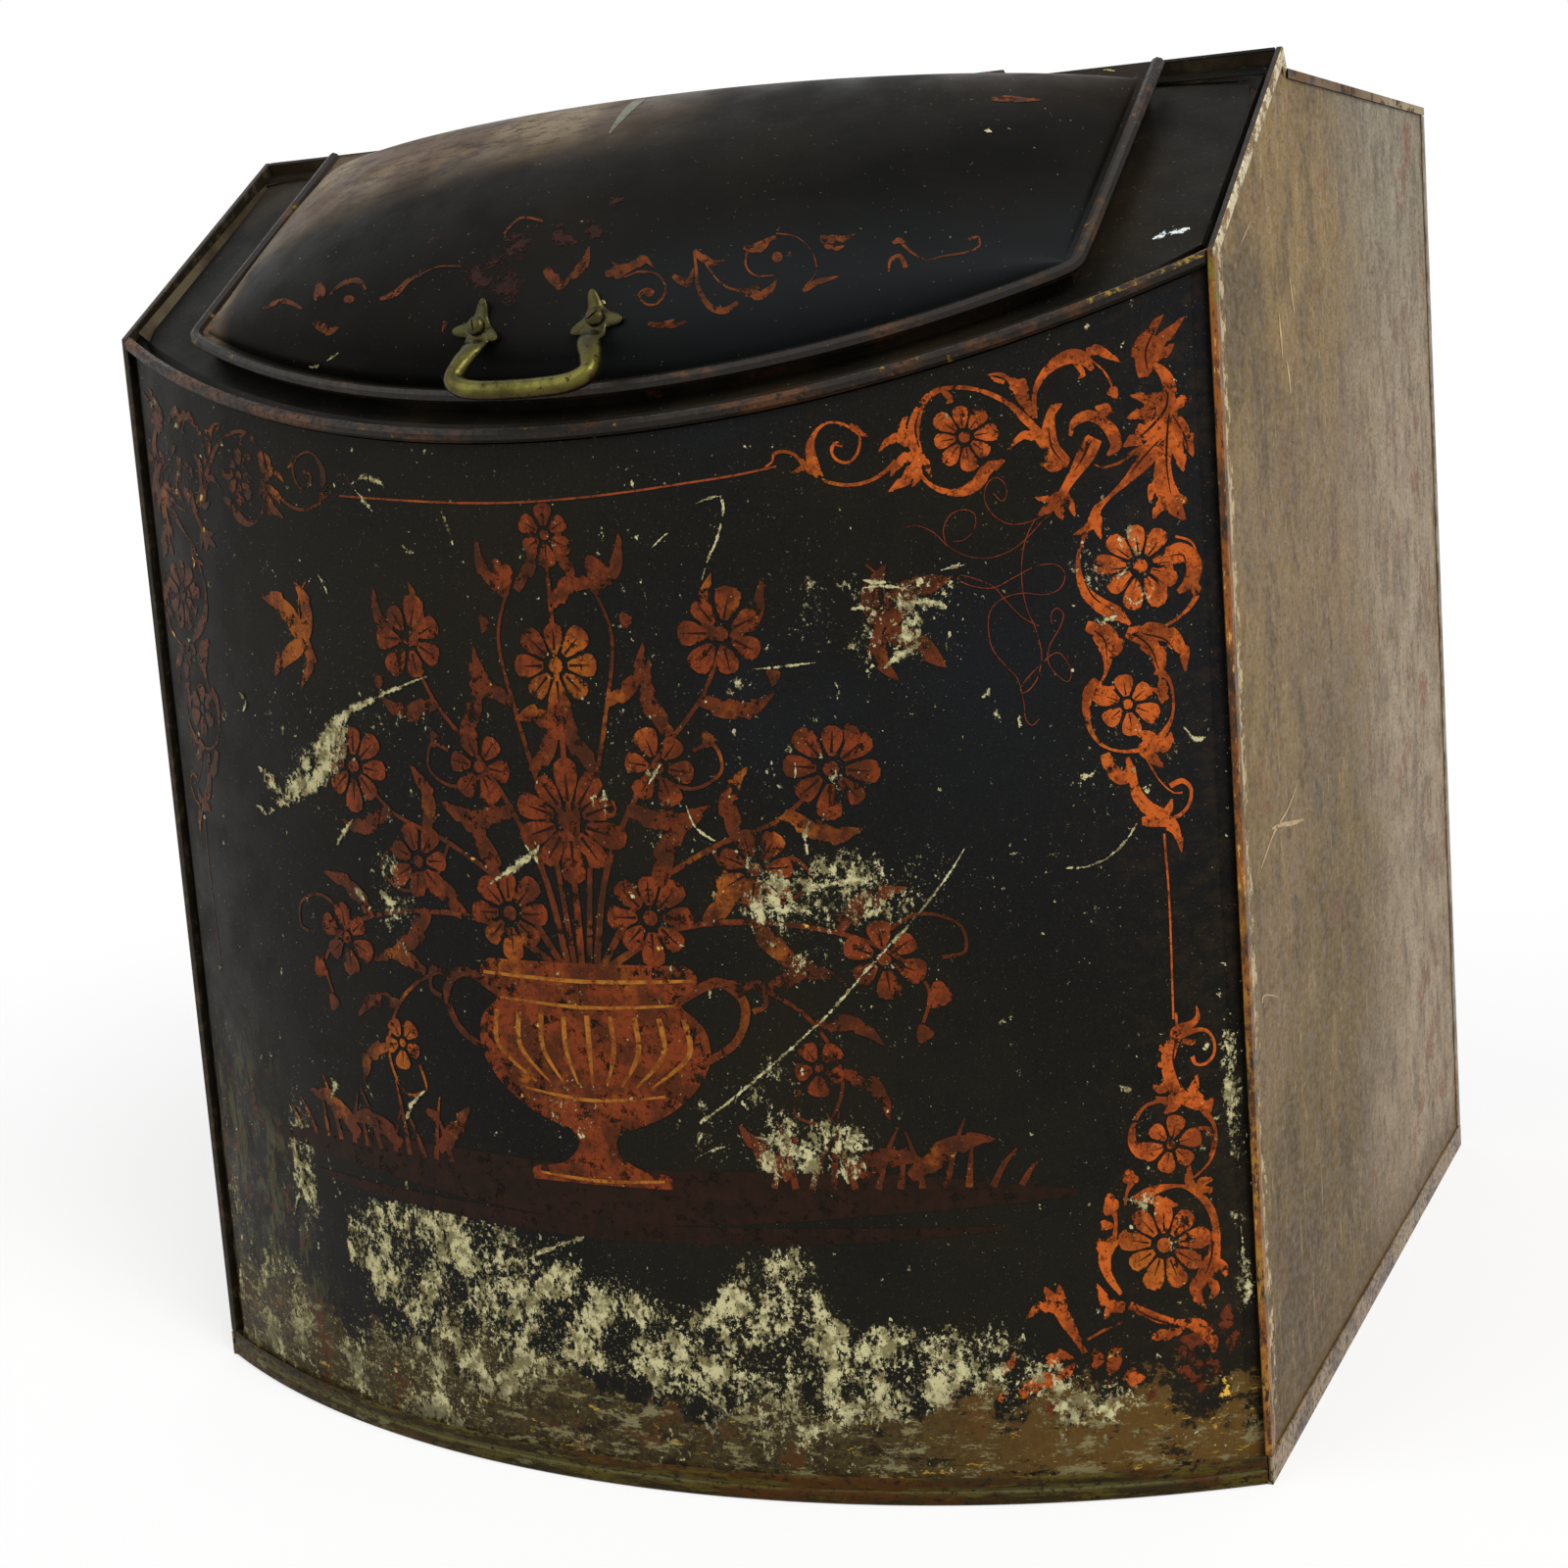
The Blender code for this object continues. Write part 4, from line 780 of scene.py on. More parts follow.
def lid_seen(u, v, lift):
    """Where the lid, raised by lift, is seen at this place in the photograph."""
    way = ray(u, v)
    place, normal, _, _ = LID_TREE.ray_cast(EYE, way)
    if place is None:
        return None
    return place - normal * math.copysign(lift, normal.dot(way))


# Handle: a cast bow with a three-pointed leaf at each foot
LEAF_REACH, LEAF_VALLEY = 0.0124, 0.0058
LEAF_TIPS = (90, 198, 342)
LEAF_SPREAD_DEGREES, LEAF_TIP_POWER = 21, 1.9
LEAF_TURN_DEGREES = 15
LEAF_THICK, LEAF_RIM_THICK, LEAF_TIP_CURL = 0.0024, 0.0010, 0.0020
LEAF_SINK = 0.1 * MM
LEAF_CORNERS, LEAF_RINGS = 72, 5
# Along each arm from its foot: how far down the slope, half width, half thickness, lift off the lid
ARM = ((0.0020, 0.0052, 0.0012, 0.0014), (0.0070, 0.0058, 0.0018, 0.0024), (0.0110, 0.0052, 0.0026, 0.0058))
NECK_SECTION, BAR_SECTION = (0.0047, 0.0036), (0.0042, 0.0040)
BEND = 0.0210
BEND_DOWN, BEND_IN, BEND_MIDDLE = 0.7, 0.05, 0.25
SECTION_CORNERS, BOW_STEPS = 20, 6
CAST_VOXEL, CAST_SMOOTHING = 0.4 * MM, 12
SCREW_CLEAR, ABOVE_LID = 0.0045, 0.2


def foot_frame(x):
    """Frame at a handle foot on the lid: X across, Y up the slope, Z out of the lid."""
    seat, normal = Vector(), Vector()
    for dx, dv in ((-1, 0), (1, 0), (0, -1), (0, 1)):
        start = on_slope(x + dx * SCREW_CLEAR, FOOT_V + dv * SCREW_CLEAR, ABOVE_LID)
        place, facing, _, _ = LID_TREE.ray_cast(start, -OFF_SLOPE)
        seat += place / 4
        normal += facing * math.copysign(1, facing.dot(OFF_SLOPE))
    normal.normalize()
    up = (UP_SLOPE - normal * UP_SLOPE.dot(normal)).normalized()
    made = Matrix((up.cross(normal), up, normal)).transposed().to_4x4()
    made.translation = seat
    return made


def leaf_reach(degrees, turned):
    """Outline of the leaf: how far it goes in this direction."""
    nearest = min(abs((degrees - turned - tip + 180) % 360 - 180) for tip in LEAF_TIPS)
    fall = math.exp(-((nearest / LEAF_SPREAD_DEGREES) ** LEAF_TIP_POWER))
    return LEAF_VALLEY + (LEAF_REACH - LEAF_VALLEY) * fall


def join_rings(work, rings):
    """Faces between each ring of corners and the next."""
    for a, b in zip(rings, rings[1:]):
        for i in range(len(a)):
            j = (i + 1) % len(a)
            work.faces.new((a[i], a[j], b[j], b[i]))


def add_leaf(work, place, turned):
    rings = []
    for k in range(1, LEAF_RINGS + 1):
        share = k / LEAF_RINGS
        ring = []
        for i in range(LEAF_CORNERS):
            degrees = 360 * i / LEAF_CORNERS
            reach = leaf_reach(degrees, turned) * share
            a = math.radians(degrees)
            tip = max(0.0, reach - LEAF_VALLEY) / (LEAF_REACH - LEAF_VALLEY)
            high = LEAF_THICK + (LEAF_RIM_THICK - LEAF_THICK) * share**3 + LEAF_TIP_CURL * tip
            ring.append(Vector((reach * math.cos(a), reach * math.sin(a), high)))
        rings.append(ring)
    rings.append([Vector((corner.x, corner.y, -LEAF_SINK)) for corner in rings[-1]])
    rings = [[work.verts.new(place @ corner) for corner in ring] for ring in rings]
    join_rings(work, rings)
    for ring, high in ((rings[0], LEAF_THICK), (rings[-1], -LEAF_SINK)):
        middle = work.verts.new(place @ Vector((0, 0, high)))
        for i in range(LEAF_CORNERS):
            work.faces.new((middle, ring[i], ring[(i + 1) % LEAF_CORNERS]))


def smooth_path(points, steps):
    """Catmull-Rom path through the points, whatever each point holds."""
    path = []
    last = len(points) - 1
    for i in range(last):
        p0, p1 = points[max(0, i - 1)], points[i]
        p2, p3 = points[i + 1], points[min(last, i + 2)]
        for k in range(steps):
            t = k / steps
            place = []
            for a, b, c, d in zip(p0, p1, p2, p3):
                value = 2 * b + (c - a) * t + (2 * a - 5 * b + 4 * c - d) * t**2
                place.append((value + (3 * b - a - 3 * c + d) * t**3) / 2)
            path.append(tuple(place))
    path.append(tuple(points[-1]))
    return path


def neighbours(path, i):
    """The points before and after this one, or the point itself at an end."""
    return path[max(0, i - 1)], path[min(len(path) - 1, i + 1)]


def add_sweep(work, path, out):
    """Closed rod of oval section along the path of place, half width and half thickness."""
    rings = []
    for i, (*place, wide, thick) in enumerate(path):
        before, after = neighbours(path, i)
        way = (Vector(after[:3]) - Vector(before[:3])).normalized()
        side = way.cross(out).normalized()
        lift = side.cross(way)
        ring = []
        for k in range(SECTION_CORNERS):
            a = 2 * math.pi * k / SECTION_CORNERS
            edge = side * wide * math.cos(a) + lift * thick * math.sin(a)
            ring.append(work.verts.new(Vector(place) + edge))
        rings.append(ring)
    join_rings(work, rings)
    work.faces.new(list(reversed(rings[0])))
    work.faces.new(rings[-1])


def bow_half(side, foot):
    """Half of the bow, from its foot to the bar: places, half widths and half thicknesses."""
    half = []
    for down, wide, thick, lift in ARM:
        half.append((*(foot @ Vector((0, -down, lift))), wide, thick))
    corner = on_slope(side * BAR_HALF, BAR_V, BAR_OFF)
    towards = (Vector(half[-1][:3]) - corner).normalized()
    across = Vector((-side, 0, 0))
    half.append((*(corner + towards * BEND * BEND_DOWN + across * BEND * BEND_IN), *NECK_SECTION))
    half.append((*(corner + (towards + across) * BEND * BEND_MIDDLE), *BAR_SECTION))
    half.append((*(corner + across * BEND), *BAR_SECTION))
    return half


def make_handle():
    work = bmesh.new()
    halves = []
    for side in (-1, 1):
        foot = foot_frame(side * FOOT_SPACING / 2)
        add_leaf(work, foot, side * LEAF_TURN_DEGREES)
        halves.append(bow_half(side, foot))
    add_sweep(work, smooth_path(halves[0] + halves[1][::-1], BOW_STEPS), OFF_SLOPE)
    bmesh.ops.recalc_face_normals(work, faces=work.faces)
    made = add_piece("cast_handle", work, BRASS, "bow_handle")
    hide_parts("bow_handle")
    union = made.modifiers.new("union", "REMESH")
    union.mode = "VOXEL"
    union.voxel_size = CAST_VOXEL
    union.use_smooth_shade = True
    soft = made.modifiers.new("soft", "SMOOTH")
    soft.iterations = CAST_SMOOTHING


make_handle()

# Brush strokes: how they are divided, and the forms of leaves and petals as shares of their size
WIDE_STROKE, WIDE_COLUMNS, COLUMNS = 26, 12, 2
STROKE_STEPS, RAY_STEPS, PAINTED_LEAF_STEPS, PETAL_STEPS = 6, 2, 24, 8
LEAF_START, LEAF_END = 0.10, 1.02
LEAF_SKEW, LEAF_FULL = 0.85, 0.8
LOBE_DEPTH, LOBE_POWER, LOBE_OFFSET = 0.42, 1.6, 0.45
SPOT_CORNERS, SPOT_BUMP = 24, 0.15
PETAL_FOOT, PETAL_CROWN, PETAL_POWER, PETAL_END = 0.30, 0.78, 1.1, 0.50
PETAL_SWAY, SWAY_TURN = 0.09, 2.3
FLOWER_EYE = 1.15


def lobe(turns):
    """How far the edge of a lobed leaf goes, from 1 at the start of each lobe."""
    return 1 - LOBE_DEPTH * (turns % 1.0) ** LOBE_POWER


def edges_of(path, reaches):
    """Both edges of a path of places, for its reach to each side."""
    sides = []
    for i, (left, right) in enumerate(reaches):
        x, y = path[i][:2]
        before, after = neighbours(path, i)
        dx, dy = after[0] - before[0], after[1] - before[1]
        length = math.hypot(dx, dy) or 1.0
        nx, ny = -dy / length, dx / length
        sides.append(((x + nx * left, y + ny * left), (x - nx * right, y - ny * right)))
    return sides


class Painting:
    """Strokes laid as thin faces on a surface of the bin."""

    def __init__(self, surface, lift):
        self.surface, self.lift = surface, lift
        self.faces = []

    def face(self, *corners):
        """A face through corners of place and core: 1 on a stroke's middle line, 0 at its edge."""
        places = []
        for (x, y), core in corners:
            place = self.surface(self.left + x / self.scale, self.top + y / self.scale, self.lift)
            places.append((place, core))
        if all(place is not None for place, core in places):
            self.faces.append(places)

    def band(self, sides):
        """Faces between the two edges of a stroke, more of them across a wide one."""
        widest = max(math.dist(a, b) for a, b in sides) / self.scale
        columns = WIDE_COLUMNS if widest > WIDE_STROKE else COLUMNS
        rows = []
        for a, b in sides:
            row = []
            for k in range(columns + 1):
                share = k / columns
                place = (a[0] + (b[0] - a[0]) * share, a[1] + (b[1] - a[1]) * share)
                row.append((place, 1 - abs(2 * share - 1)))
            rows.append(row)
        for row, after in zip(rows, rows[1:]):
            for k in range(columns):
                self.face(row[k], row[k + 1], after[k + 1], after[k])

    def stroke(self, points, steps=STROKE_STEPS):
        """A brush stroke through points of place and width."""
        path = smooth_path(points, steps)
        self.band(edges_of(path, [(width / 2, width / 2) for _, _, width in path]))

    def leaf(self, width, lobes, points):
        """A lobed leaf along the points, widest near its middle and pointed at its ends."""
        path = smooth_path(points, PAINTED_LEAF_STEPS // (len(points) - 1))
        reaches = []
        for i in range(len(path)):
            t = i / (len(path) - 1)
            along = min(1.0, LEAF_START + (LEAF_END - LEAF_START) * t)
            half = width / 2 * math.sin(math.pi * along**LEAF_SKEW) ** LEAF_FULL
            reaches.append((half * lobe(t * lobes), half * lobe(t * lobes + LOBE_OFFSET)))
        self.band(edges_of(path, reaches))

    def blob(self, x, y, across, high, degrees=0.0, bumps=0):
        """A rounded spot, with bumps round its edge."""
        a = math.radians(degrees)
        ring = []
        for i in range(SPOT_CORNERS):
            b = 2 * math.pi * i / SPOT_CORNERS
            grow = 1 + SPOT_BUMP * math.cos(bumps * b) if bumps else 1
            px, py = across / 2 * grow * math.cos(b), -high / 2 * grow * math.sin(b)
            ring.append((x + px * math.cos(a) - py * math.sin(a), y + px * math.sin(a) + py * math.cos(a)))
        for i in range(SPOT_CORNERS):
            self.face(((x, y), 1.0), (ring[i], 0.0), (ring[(i + 1) % SPOT_CORNERS], 0.0))

    def flower(self, x, y, radius, petals, start, heart, width):
        """Petals round a bare ring with a small middle."""
        for i in range(petals):
            a = math.radians(start + 360 * i / petals)
            length = radius * (1 + PETAL_SWAY * math.sin(SWAY_TURN * i + start))
            dx, dy = math.cos(a), -math.sin(a)
            half = length * math.sin(math.pi / petals) * width
            sides = []
            for k in range(PETAL_STEPS + 1):
                t = k / PETAL_STEPS
                reach = length * (heart + (1 - heart) * t)
                bulge = math.sin(math.pi * (t * PETAL_CROWN) ** PETAL_POWER)
                w = half * (PETAL_FOOT + (1 - PETAL_FOOT) * bulge)
                w *= PETAL_END if k == PETAL_STEPS else 1.0
                cx, cy = x + dx * reach, y + dy * reach
                sides.append(((cx + dy * w, cy - dx * w), (cx - dy * w, cy + dx * w)))
            self.band(sides)
        self.blob(x, y, radius * heart * FLOWER_EYE, radius * heart * FLOWER_EYE)

    def rays(self, x, y, inner, outer, count, start, width):
        """Short tapering lines round a middle."""
        for i in range(count):
            a = math.radians(start + 360 * i / count)
            dx, dy = math.cos(a), -math.sin(a)
            near, far = (x + dx * inner, y + dy * inner), (x + dx * outer, y + dy * outer)
            self.stroke([(*near, width), (*far, width / 4)], RAY_STEPS)

    def draw(self, sheet):
        """Everything on a sheet, typed in pixels of a crop of the photograph or in millimetres.

        A stroke has a place and a width at each point, and a line only its place. The rest hold what
        leaf, flower, blob and rays take.
        """
        self.left, self.top = sheet.get("corner", (0.0, 0.0))
        self.scale = sheet.get("scale", 1.0)
        wider = sheet.get("wider", 1.0)
        for points in sheet.get("strokes", ()):
            self.stroke([(x, y, width * wider) for x, y, width in points])
        for points in sheet.get("lines", ()):
            self.stroke([(x, y, sheet["width"]) for x, y in points])
        for leaf in sheet.get("leaves", ()):
            self.leaf(*leaf)
        for flower in sheet.get("flowers", ()):
            self.flower(*flower)
        for spot in sheet.get("blobs", ()):
            self.blob(*spot)
        for row in sheet.get("rays", ()):
            self.rays(*row)

    def make(self, name, material, slot, mirror=False):
        """The strokes as one piece, turned over to the other side of the middle if mirror is set."""
        work = bmesh.new()
        middle = work.verts.layers.float.new("core")
        for corners in self.faces:
            verts = []
            for place, core in corners:
                verts.append(work.verts.new(Vector((-place.x, place.y, place.z)) if mirror else place))
                verts[-1][middle] = core
            work.faces.new(verts[::-1] if mirror else verts)
        add_piece(name, work, material, slot)


# Enlarged crops of the photograph, in which the places on most sheets are typed
UPPER_CROP = {"corner": (780, 290), "scale": 3}
RIGHT_CROP = {"corner": (1040, 480), "scale": 3}
LOWER_CROP = {"corner": (1020, 1000), "scale": 3}
LID_RIGHT_CROP = {"corner": (650, 40), "scale": 2.57}
LID_LEFT_CROP = {"corner": (200, 60), "scale": 3.136}

# Ornament of the right edge of the front, top to bottom
UPPER_CORNER = {
    **UPPER_CROP,
    "strokes": (
        [(0, 560, 5), (22, 545, 6), (30, 520, 10), (60, 512, 10), (95, 525, 10), (122, 562, 8)],
        [(115, 535, 6), (160, 588, 12), (200, 607, 11), (260, 615, 11), (320, 603, 11), (370, 573, 12),
         (402, 540, 14)],
        [(172, 592, 20), (148, 545, 34), (140, 495, 26), (160, 448, 12), (196, 424, 8), (240, 428, 8),
         (275, 450, 6)],
        [(275, 438, 12), (292, 475, 9), (284, 518, 9), (258, 545, 9), (225, 540, 9), (206, 515, 10),
         (214, 490, 14), (240, 492, 22)],
        [(470, 520, 30), (455, 470, 40), (462, 415, 34), (480, 370, 24), (512, 335, 20), (560, 318, 14),
         (625, 318, 13), (690, 336, 15), (750, 368, 18), (800, 415, 26), (860, 472, 20), (925, 535, 10)],
        [(455, 525, 8), (470, 572, 12), (510, 615, 14), (560, 636, 20), (610, 634, 30), (652, 608, 40),
         (676, 570, 34), (690, 545, 16)],
        [(682, 278, 4), (720, 276, 12), (762, 300, 26), (790, 345, 40), (820, 400, 20)],
        [(828, 410, 16), (826, 340, 16), (845, 290, 22), (885, 246, 34), (932, 222, 44), (975, 228, 44),
         (1004, 262, 14)],
        [(1000, 232, 6), (1035, 262, 6), (1058, 298, 7), (1068, 328, 8)],
        [(884, 370, 16), (872, 420, 34), (872, 480, 50), (890, 530, 56), (930, 552, 20)],
        [(812, 420, 10), (835, 460, 26), (860, 500, 30)],
        [(936, 464, 10), (950, 422, 26), (990, 402, 34), (1032, 418, 34), (1064, 452, 40),
         (1076, 494, 34), (1050, 524, 8)],
        [(1010, 470, 50), (985, 520, 56), (958, 565, 40), (930, 610, 28), (905, 655, 26), (880, 690, 14)],
        [(1010, 552, 4), (1040, 560, 8), (1090, 545, 9), (1135, 515, 9), (1180, 480, 8)],
        [(1186, 238, 18), (1228, 280, 36), (1240, 335, 44), (1226, 390, 30)],
        [(1240, 380, 50), (1236, 450, 52), (1222, 530, 46), (1222, 600, 60), (1245, 665, 66),
         (1286, 722, 12)],
        [(1232, 450, 50), (1170, 530, 54), (1115, 595, 26), (1055, 652, 12), (1014, 694, 26),
         (990, 748, 12), (974, 780, 10)],
    ),
    "leaves": (
        (34, 2, [(172, 592), (140, 560), (80, 578)]),
        (28, 2, [(170, 590), (130, 560), (105, 530)]),
        (26, 2, [(262, 430), (285, 450), (318, 468)]),
        (34, 2, [(470, 500), (420, 440), (440, 404)]),
        (36, 3, [(470, 505), (400, 470), (348, 514)]),
        (38, 3, [(475, 515), (420, 540), (384, 590)]),
        (44, 3, [(480, 520), (440, 590), (378, 636)]),
        (26, 2, [(480, 520), (500, 560), (512, 592)]),
        (26, 2, [(470, 540), (470, 590), (450, 622)]),
        (24, 1, [(545, 325), (570, 350), (555, 366)]),
        (40, 2, [(670, 580), (700, 555), (738, 540)]),
        (18, 1, [(735, 300), (712, 295), (690, 280)]),
        (22, 1, [(950, 240), (975, 270), (960, 290)]),
        (38, 2, [(985, 205), (1030, 205), (1090, 240)]),
        (28, 1, [(870, 400), (890, 380), (912, 366)]),
        (42, 3, [(930, 545), (860, 480), (800, 462), (742, 508)]),
        (36, 2, [(925, 535), (880, 560), (838, 546)]),
        (30, 2, [(912, 640), (870, 660), (828, 652)]),
        (34, 2, [(908, 640), (865, 690), (835, 706)]),
        (40, 2, [(912, 635), (905, 690), (912, 722)]),
        (26, 2, [(920, 630), (940, 680), (950, 712)]),
        (60, 2, [(1160, 285), (1152, 210), (1178, 150), (1222, 92)]),
        (54, 3, [(1165, 270), (1200, 190), (1288, 98)]),
        (40, 2, [(1160, 240), (1220, 210), (1255, 182)]),
        (44, 3, [(1235, 340), (1180, 350), (1118, 340)]),
        (52, 3, [(1235, 350), (1170, 390), (1108, 410)]),
        (70, 4, [(1235, 370), (1170, 450), (1096, 498)]),
        (50, 3, [(1230, 420), (1180, 500), (1110, 520)]),
        (40, 2, [(1240, 380), (1290, 350), (1296, 322)]),
        (52, 3, [(1240, 400), (1290, 460), (1312, 530)]),
        (46, 3, [(1245, 420), (1270, 520), (1282, 575)]),
        (36, 2, [(1225, 590), (1192, 620), (1178, 668)]),
        (30, 2, [(1240, 640), (1280, 660), (1290, 650)]),
        (34, 2, [(1225, 640), (1205, 690), (1188, 718)]),
        (34, 2, [(1022, 685), (1004, 735), (944, 768)]),
        (30, 2, [(1020, 680), (1020, 740), (1030, 782)]),
    ),
    "flowers": ((612, 468, 100, 8, 100, 0.30, 0.66),),
    "blobs": ((780, 312, 58, 50, 20, 5), (1068, 332, 40, 34, 60, 3), (1042, 386, 56, 40, 20, 4)),
}

RIGHT_EDGE = {
    **RIGHT_CROP,
    "strokes": (
        [(205, 190, 10), (182, 255, 12), (184, 325, 20), (208, 378, 36), (250, 414, 46), (300, 440, 44),
         (340, 472, 8)],
        [(436, 262, 20), (490, 242, 44), (532, 278, 50), (524, 340, 44), (486, 372, 14)],
        [(545, 380, 18), (520, 420, 13), (482, 455, 10), (430, 482, 10), (388, 492, 16)],
        [(478, 202, 8), (528, 220, 7), (548, 280, 5), (545, 350, 5)],
        [(240, 500, 40), (270, 560, 40), (264, 620, 10), (240, 668, 12)],
        [(228, 650, 30), (206, 712, 28), (214, 784, 16), (250, 838, 10), (310, 860, 9), (372, 856, 14)],
        [(228, 706, 18), (250, 674, 13), (292, 664, 12)],
        [(420, 610, 34), (458, 640, 12), (472, 700, 8), (466, 760, 10), (436, 812, 22), (402, 846, 26)],
        [(262, 868, 30), (284, 915, 44), (318, 944, 40), (338, 915, 28), (330, 878, 12)],
        [(350, 905, 10), (352, 965, 30), (374, 1012, 40), (412, 1044, 44), (450, 1050, 36),
         (468, 1006, 6)],
        [(388, 880, 6), (426, 944, 5), (468, 984, 5), (500, 986, 6)],
        [(462, 966, 16), (500, 950, 16), (526, 976, 11), (520, 1022, 10), (490, 1056, 11),
         (448, 1068, 8)],
        [(444, 1112, 7), (450, 1190, 7), (456, 1262, 6), (463, 1400, 6), (472, 1680, 6)],
    ),
    "leaves": (
        (40, 3, [(470, 270), (440, 330), (450, 395)]),
        (66, 3, [(330, 492), (390, 520), (430, 580), (430, 645)]),
        (60, 4, [(350, 492), (440, 495), (500, 550), (508, 618)]),
        (30, 2, [(360, 490), (430, 488), (478, 500)]),
        (60, 3, [(206, 474), (270, 500), (296, 545), (262, 592)]),
        (34, 2, [(238, 640), (215, 670), (192, 692)]),
        (36, 2, [(440, 640), (438, 680), (436, 716)]),
        (24, 2, [(455, 700), (430, 680), (396, 664)]),
        (46, 2, [(370, 856), (400, 820), (350, 800)]),
        (44, 3, [(400, 850), (450, 838), (466, 800)]),
        (40, 2, [(372, 856), (410, 880), (442, 912)]),
        (50, 2, [(376, 1074), (440, 1072), (480, 1100), (498, 1172)]),
    ),
    "flowers": ((370, 292, 132, 9, 98, 0.30, 0.64), (332, 716, 96, 6, 100, 0.28, 0.62)),
    "blobs": ((540, 364, 36, 40),),
}

LOWER_CORNER = {
    **LOWER_CROP,
    "strokes": (
        [(540, 100, 8), (543, 150, 8)],
        [(522, 190, 16), (540, 155, 28), (585, 136, 24), (606, 112, 14), (602, 78, 4)],
        [(545, 178, 16), (590, 156, 16), (632, 154, 10), (656, 186, 9), (655, 228, 9), (630, 256, 9),
         (600, 256, 10), (590, 234, 15)],
        [(548, 166, 26), (524, 205, 42), (514, 250, 40), (522, 300, 40), (546, 345, 44), (585, 375, 34),
         (625, 392, 20)],
        [(512, 364, 16), (450, 384, 10), (415, 430, 14), (405, 490, 26), (430, 528, 36), (466, 545, 10)],
        [(615, 388, 26), (655, 440, 12), (661, 500, 10), (640, 560, 8), (596, 604, 6)],
        [(608, 454, 10), (640, 458, 14), (654, 495, 12), (644, 540, 8)],
        [(410, 676, 26), (470, 644, 30), (540, 630, 10), (590, 643, 18), (640, 690, 24), (662, 760, 24),
         (656, 838, 40), (640, 885, 60), (606, 922, 24)],
        [(404, 620, 20), (390, 650, 10), (384, 690, 8)],
        [(350, 712, 20), (356, 740, 10), (352, 790, 16)],
        [(354, 790, 36), (322, 845, 40), (334, 905, 28), (372, 962, 12)],
        [(398, 996, 26), (470, 1030, 30), (545, 1050, 24), (605, 1056, 44), (650, 1098, 40),
         (656, 1140, 14)],
        [(180, 1000, 44), (208, 1050, 40), (242, 1106, 24), (272, 1160, 20)],
        [(268, 1102, 7), (320, 1072, 9), (376, 1048, 12)],
    ),
    "leaves": (
        (26, 1, [(518, 230), (500, 215), (494, 196)]),
        (24, 1, [(518, 262), (496, 262), (488, 250)]),
        (34, 2, [(520, 310), (490, 335), (470, 320)]),
        (34, 2, [(545, 345), (510, 370), (476, 356)]),
        (34, 2, [(555, 355), (530, 390), (502, 408)]),
        (22, 1, [(560, 185), (590, 190), (600, 182)]),
        (44, 3, [(640, 400), (596, 350), (606, 286)]),
        (34, 2, [(636, 404), (640, 380), (655, 362)]),
        (30, 2, [(420, 505), (445, 515), (440, 545)]),
        (34, 2, [(606, 650), (580, 610), (584, 566)]),
        (34, 2, [(606, 650), (625, 615), (654, 612)]),
        (24, 1, [(606, 645), (640, 640), (642, 656)]),
        (40, 3, [(440, 664), (500, 680), (548, 690)]),
        (40, 2, [(640, 860), (684, 880), (690, 910)]),
        (46, 3, [(640, 890), (600, 950), (634, 1008)]),
        (34, 2, [(636, 900), (660, 950), (640, 980)]),
        (44, 3, [(384, 1000), (330, 990), (298, 928)]),
        (40, 2, [(380, 1010), (345, 1000), (320, 1040)]),
        (42, 3, [(465, 1092), (520, 1082), (572, 1062)]),
        (44, 2, [(172, 1010), (130, 1000), (80, 1036)]),
        (46, 2, [(186, 1020), (160, 980), (138, 938)]),
        (34, 1, [(196, 1020), (188, 970), (182, 930)]),
        (64, 4, [(64, 1272), (120, 1236), (190, 1210), (236, 1166)]),
        (46, 3, [(150, 1180), (180, 1150), (230, 1160)]),
        (34, 2, [(0, 1200), (30, 1180), (50, 1136)]),
        (26, 2, [(0, 1290), (14, 1270), (30, 1262)]),
    ),
    "flowers": ((525, 504, 88, 6, 78, 0.28, 0.62), (505, 812, 134, 9, 92, 0.30, 0.66)),
    "blobs": (
        (400, 604, 50, 44, 20, 3),
        (340, 688, 46, 66, 10, 3),
        (326, 752, 40, 34, 0, 3),
        (312, 812, 38, 44, 0, 3),
        (352, 1160, 46, 120, 12, 0),
        (298, 1160, 40, 60, 0, 3),
        (410, 1216, 66, 54, 0, 4),
    ),
}

# Spots left of the worn corner: place, width and height
WORN_SPOTS = (
    (600, 1110, 90, 60), (560, 1140, 60, 50), (610, 1160, 70, 60), (650, 1190, 80, 60), (570, 1200, 60, 44),
    (620, 1230, 90, 60), (670, 1250, 60, 60), (690, 1040, 50, 90), (716, 1110, 50, 80), (640, 1080, 60, 60),
    (330, 1230, 60, 40), (240, 1290, 50, 46), (160, 1310, 60, 40), (460, 1260, 40, 60),
)
WORN_TURN, WORN_BUMPS = 15, 4
WORN_CORNER = {**LOWER_CROP, "blobs": [(*spot, WORN_TURN, WORN_BUMPS) for spot in WORN_SPOTS]}

